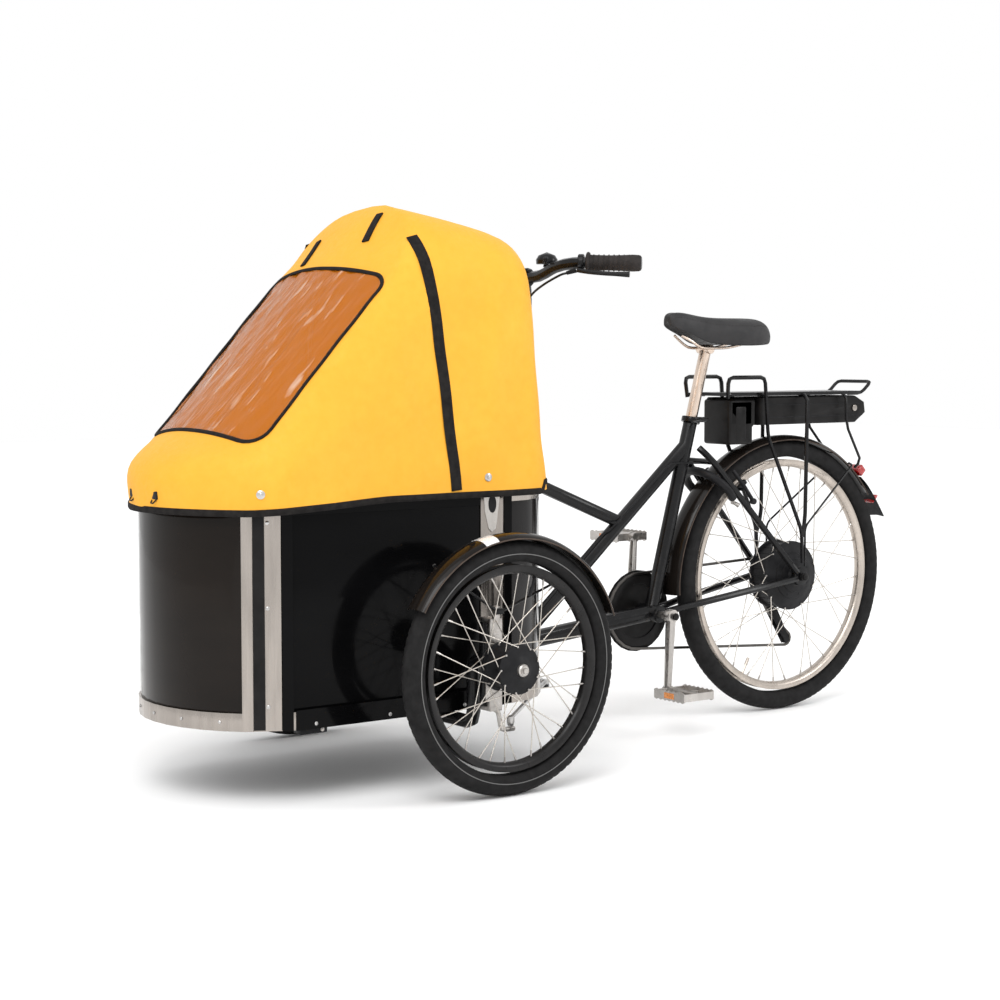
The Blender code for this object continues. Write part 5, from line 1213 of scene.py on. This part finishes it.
# ---------------------------------------------------------------- pedals and small parts
def build_pedals():
    for word, side in SIDES:
        low, high = (Vector(c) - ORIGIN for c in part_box(f"pedal_{word}"))
        middle = (low + high) / 2
        inner, outer = (low.y, high.y) if side > 0 else (high.y, low.y)
        start = inner + side * 0.012
        length = abs(outer - inner)
        profile = [(0.0, 0.0), (0.0, 0.0052), (0.010, 0.0052), (0.012, 0.0125), (0.018, 0.0125),
                   (0.024, 0.0105), (length - 0.010, 0.0095), (length - 0.006, 0.0080), (length - 0.004, 0.0)]
        axle = turned(profile, 28, Vector((middle.x, inner, middle.z)), Vector((0, side, 0)), False)
        piece(f"pedal_axle_{word}", axle, CAST_ALUMINIUM, f"pedal_{word}", 30,
              [f"pedal_{word}"])
        cage = bmesh.new()
        reach = (high.x - low.x) / 2
        for ahead in (1, -1):
            x = middle.x + ahead * (reach - 0.003)
            outline, count = [], 7
            for i in range(count * 2 + 1):
                y = start + (outer - start) * i / (count * 2)
                outline.append((y, middle.z + (0.0125 if i % 2 else 0.0095)))
            outline += [(y, 2 * middle.z - z) for y, z in reversed(outline)]
            prism(outline, "x", x - 0.0014, x + 0.0014, cage)
        for y in (start + side * 0.002, outer - side * 0.002):
            low_y, high_y = sorted((y - 0.0016, y + 0.0016))
            slab((middle.x - reach + 0.003, low_y, middle.z - 0.0085),
                 (middle.x + reach - 0.003, high_y, middle.z + 0.0085), 0.0006, 1, cage)
        for ahead in (1, -1):
            low_x, high_x = sorted((middle.x + ahead * 0.008, middle.x + ahead * (reach - 0.004)))
            low_y, high_y = sorted(((start + outer) / 2 - 0.004, (start + outer) / 2 + 0.004))
            slab((low_x, low_y, middle.z - 0.005), (high_x, high_y, middle.z + 0.005), 0.001, 1, cage)
        piece(f"pedal_cage_{word}", cage, CAST_ALUMINIUM, f"pedal_{word}", 30)
        glow = bmesh.new()
        for ahead in (1, -1):
            x = middle.x + ahead * (reach - 0.0012)
            slab((x - 0.0012, (start + outer) / 2 - 0.016, middle.z - 0.0065),
                 (x + 0.0012, (start + outer) / 2 + 0.016, middle.z + 0.0065), 0.0006, 1, glow)
        piece(f"pedal_reflectors_{word}", glow, AMBER, f"pedal_{word}")


def build_small_parts():
    nuts = bmesh.new()
    cap = [(0.0, 0.0), (0.0, 0.0100), (0.003, 0.0100), (0.0035, 0.0088), (0.012, 0.0080),
           (0.0135, 0.0060), (0.0140, 0.0)]
    for side in (1, -1):
        turned(cap, 24, (0, side * 0.0765, REAR_AXLE_Z), (0, side, 0), False, nuts)
    piece("rear_axle_caps", nuts, FINE_PLASTIC, "frame")
    ring = bmesh.new()
    centre = Vector((BOTTOM_BRACKET.x, -0.0500, BOTTOM_BRACKET.z))
    for radius in (0.0885, 0.0760, 0.0560):
        turned([(-0.0022, radius - 0.0016), (-0.0030, radius - 0.0010), (-0.0030, radius + 0.0010),
                (-0.0022, radius + 0.0016)], 72, centre, "y", True, ring)
    for i in range(5):
        spot = around(centre, math.radians(90 + 72 * i), 0.0655, -0.0015)
        bolt(spot, (0, -1, 0), 0.0036, 0.0030, ring)
    piece("chain_guard_face", ring, FINE_PLASTIC, "crankset")
    caps = bmesh.new()
    low, high = (Vector(c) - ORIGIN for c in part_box("crank_arms"))
    for side, y in ((1, high.y), (-1, low.y)):
        turned([(-0.002, 0.0), (-0.002, 0.0085), (0.0016, 0.0078), (0.0024, 0.0045), (0.0024, 0.0)], 24,
               Vector((BOTTOM_BRACKET.x, y, BOTTOM_BRACKET.z)), Vector((0, side, 0)), False, caps)
    piece("crank_caps", caps, FINE_PLASTIC, "crankset")
    tail = slab((-0.3110, -0.0190, 0.4870), (-0.3060, 0.0190, 0.5110), 0.0015, 2,
                turn=Matrix.Rotation(math.radians(-40), 3, "Y"))
    piece("tail_reflector", tail, RED, "frame")
    for word, side in SIDES:
        centre = Vector((WHEELBASE, side * HALF_TRACK, FRONT_AXLE_Z))
        mark = guard_mesh(centre, lambda degrees: FRONT_GUARD + 0.0008, GUARD_HALF_WIDTH, 72.5, 79.5, 6)
        piece(f"fender_{word}_marker", mark, WHITE_REFLECT, f"knuckle_{word}", 40)
    battery = bmesh.new()
    for side in (1, -1):
        for z in (0.7125, 0.7420):
            side_slab(side, (-0.225, 0.108), (0.0498, 0.0506), (z - 0.0012, z + 0.0012), 0.0004, 1, battery)
    slab((-0.2425, -0.0220, 0.7420), (-0.2395, 0.0220, 0.7520), 0.001, 1, battery)
    piece("battery_seams", battery, PLASTIC, "battery")
    cover = slab((0.1375, -0.0460, 0.6500), (0.2145, 0.0460, 0.7560), 0.007, 3)
    slab((0.1600, -0.0470, 0.6600), (0.1950, 0.0470, 0.7400), 0.004, 2, cover)
    piece("controller_cover", cover, FINE_PLASTIC, "frame")


# ---------------------------------------------------------------- stage
def softbox(name, place, aim, size, power):
    """A square area light pointed at a spot."""
    data = bpy.data.lights.new(name, "AREA")
    data.shape = "SQUARE"
    data.size = size
    data.energy = power
    lamp = bpy.data.objects.new(name, data)
    bpy.context.scene.collection.objects.link(lamp)
    lamp.location = place
    lamp.rotation_euler = (Vector(aim) - Vector(place)).to_track_quat("-Z", "Y").to_euler()


def build_stage():
    """The camera, a pale seamless floor, a white world, a soft sun and two area lights."""
    scene = bpy.context.scene
    camera_data = bpy.data.cameras.new("camera")
    camera = bpy.data.objects.new("camera", camera_data)
    scene.collection.objects.link(camera)
    azimuth, elevation, distance = math.radians(143.54), math.radians(4.268), 4.5211
    target = Vector((0.8479, 0.0, 0.5462)) + ORIGIN
    level = math.cos(elevation)
    back = Vector((math.sin(azimuth) * level, -math.cos(azimuth) * level, math.sin(elevation)))
    camera.location = target + back * distance
    camera.rotation_euler = (-back).to_track_quat("-Z", "Y").to_euler()
    camera_data.lens = 74.58
    camera_data.sensor_width = 36.0
    camera_data.clip_start = 0.05
    scene.camera = camera

    bm = bmesh.new()
    span = 14.0
    corners = [(-span, -span), (span, -span), (span, span), (-span, span)]
    bm.faces.new([bm.verts.new((x, y, -0.0008)) for x, y in corners])
    mesh = bpy.data.meshes.new("floor")
    bm.to_mesh(mesh)
    bm.free()
    floor = bpy.data.objects.new("floor", mesh)
    scene.collection.objects.link(floor)
    ground = Surface("pale_floor", (0.97, 0.97, 0.97), 0.8, Specular_Ior_Level=0.1)
    ground.tint(ground.noise(1.5), (0.965, 0.965, 0.965), (0.975, 0.975, 0.975))
    mesh.materials.append(ground.material)

    world = bpy.data.worlds.new("pale_room")
    scene.world = world
    world.use_nodes = True
    background = world.node_tree.nodes["Background"]
    background.inputs["Color"].default_value = (1.0, 1.0, 1.0, 1.0)
    background.inputs["Strength"].default_value = 1.0
    scene.view_settings.view_transform = "Standard"

    day = bpy.data.lights.new("soft_day", "SUN")
    day.energy = 0.9
    day.angle = math.radians(50)
    lamp = bpy.data.objects.new("soft_day", day)
    scene.collection.objects.link(lamp)
    lamp.rotation_euler = Vector((-0.55, -0.45, -1.0)).to_track_quat("-Z", "Y").to_euler()
    softbox("key", (2.6, 2.4, 3.4), (0.1, 0, 0.6), 1.6, 45)
    softbox("side", (-2.4, 2.8, 2.4), (0.0, 0, 0.5), 1.2, 30)


build_stage()
dress_cad_nodes()
build_canopy()
build_saddle()
for word, side in SIDES:
    front_wheel(word, side)
    front_guard(word, side)
rear_wheel()
rear_guard()
build_box_trim()
build_controls()
build_pedals()
build_small_parts()
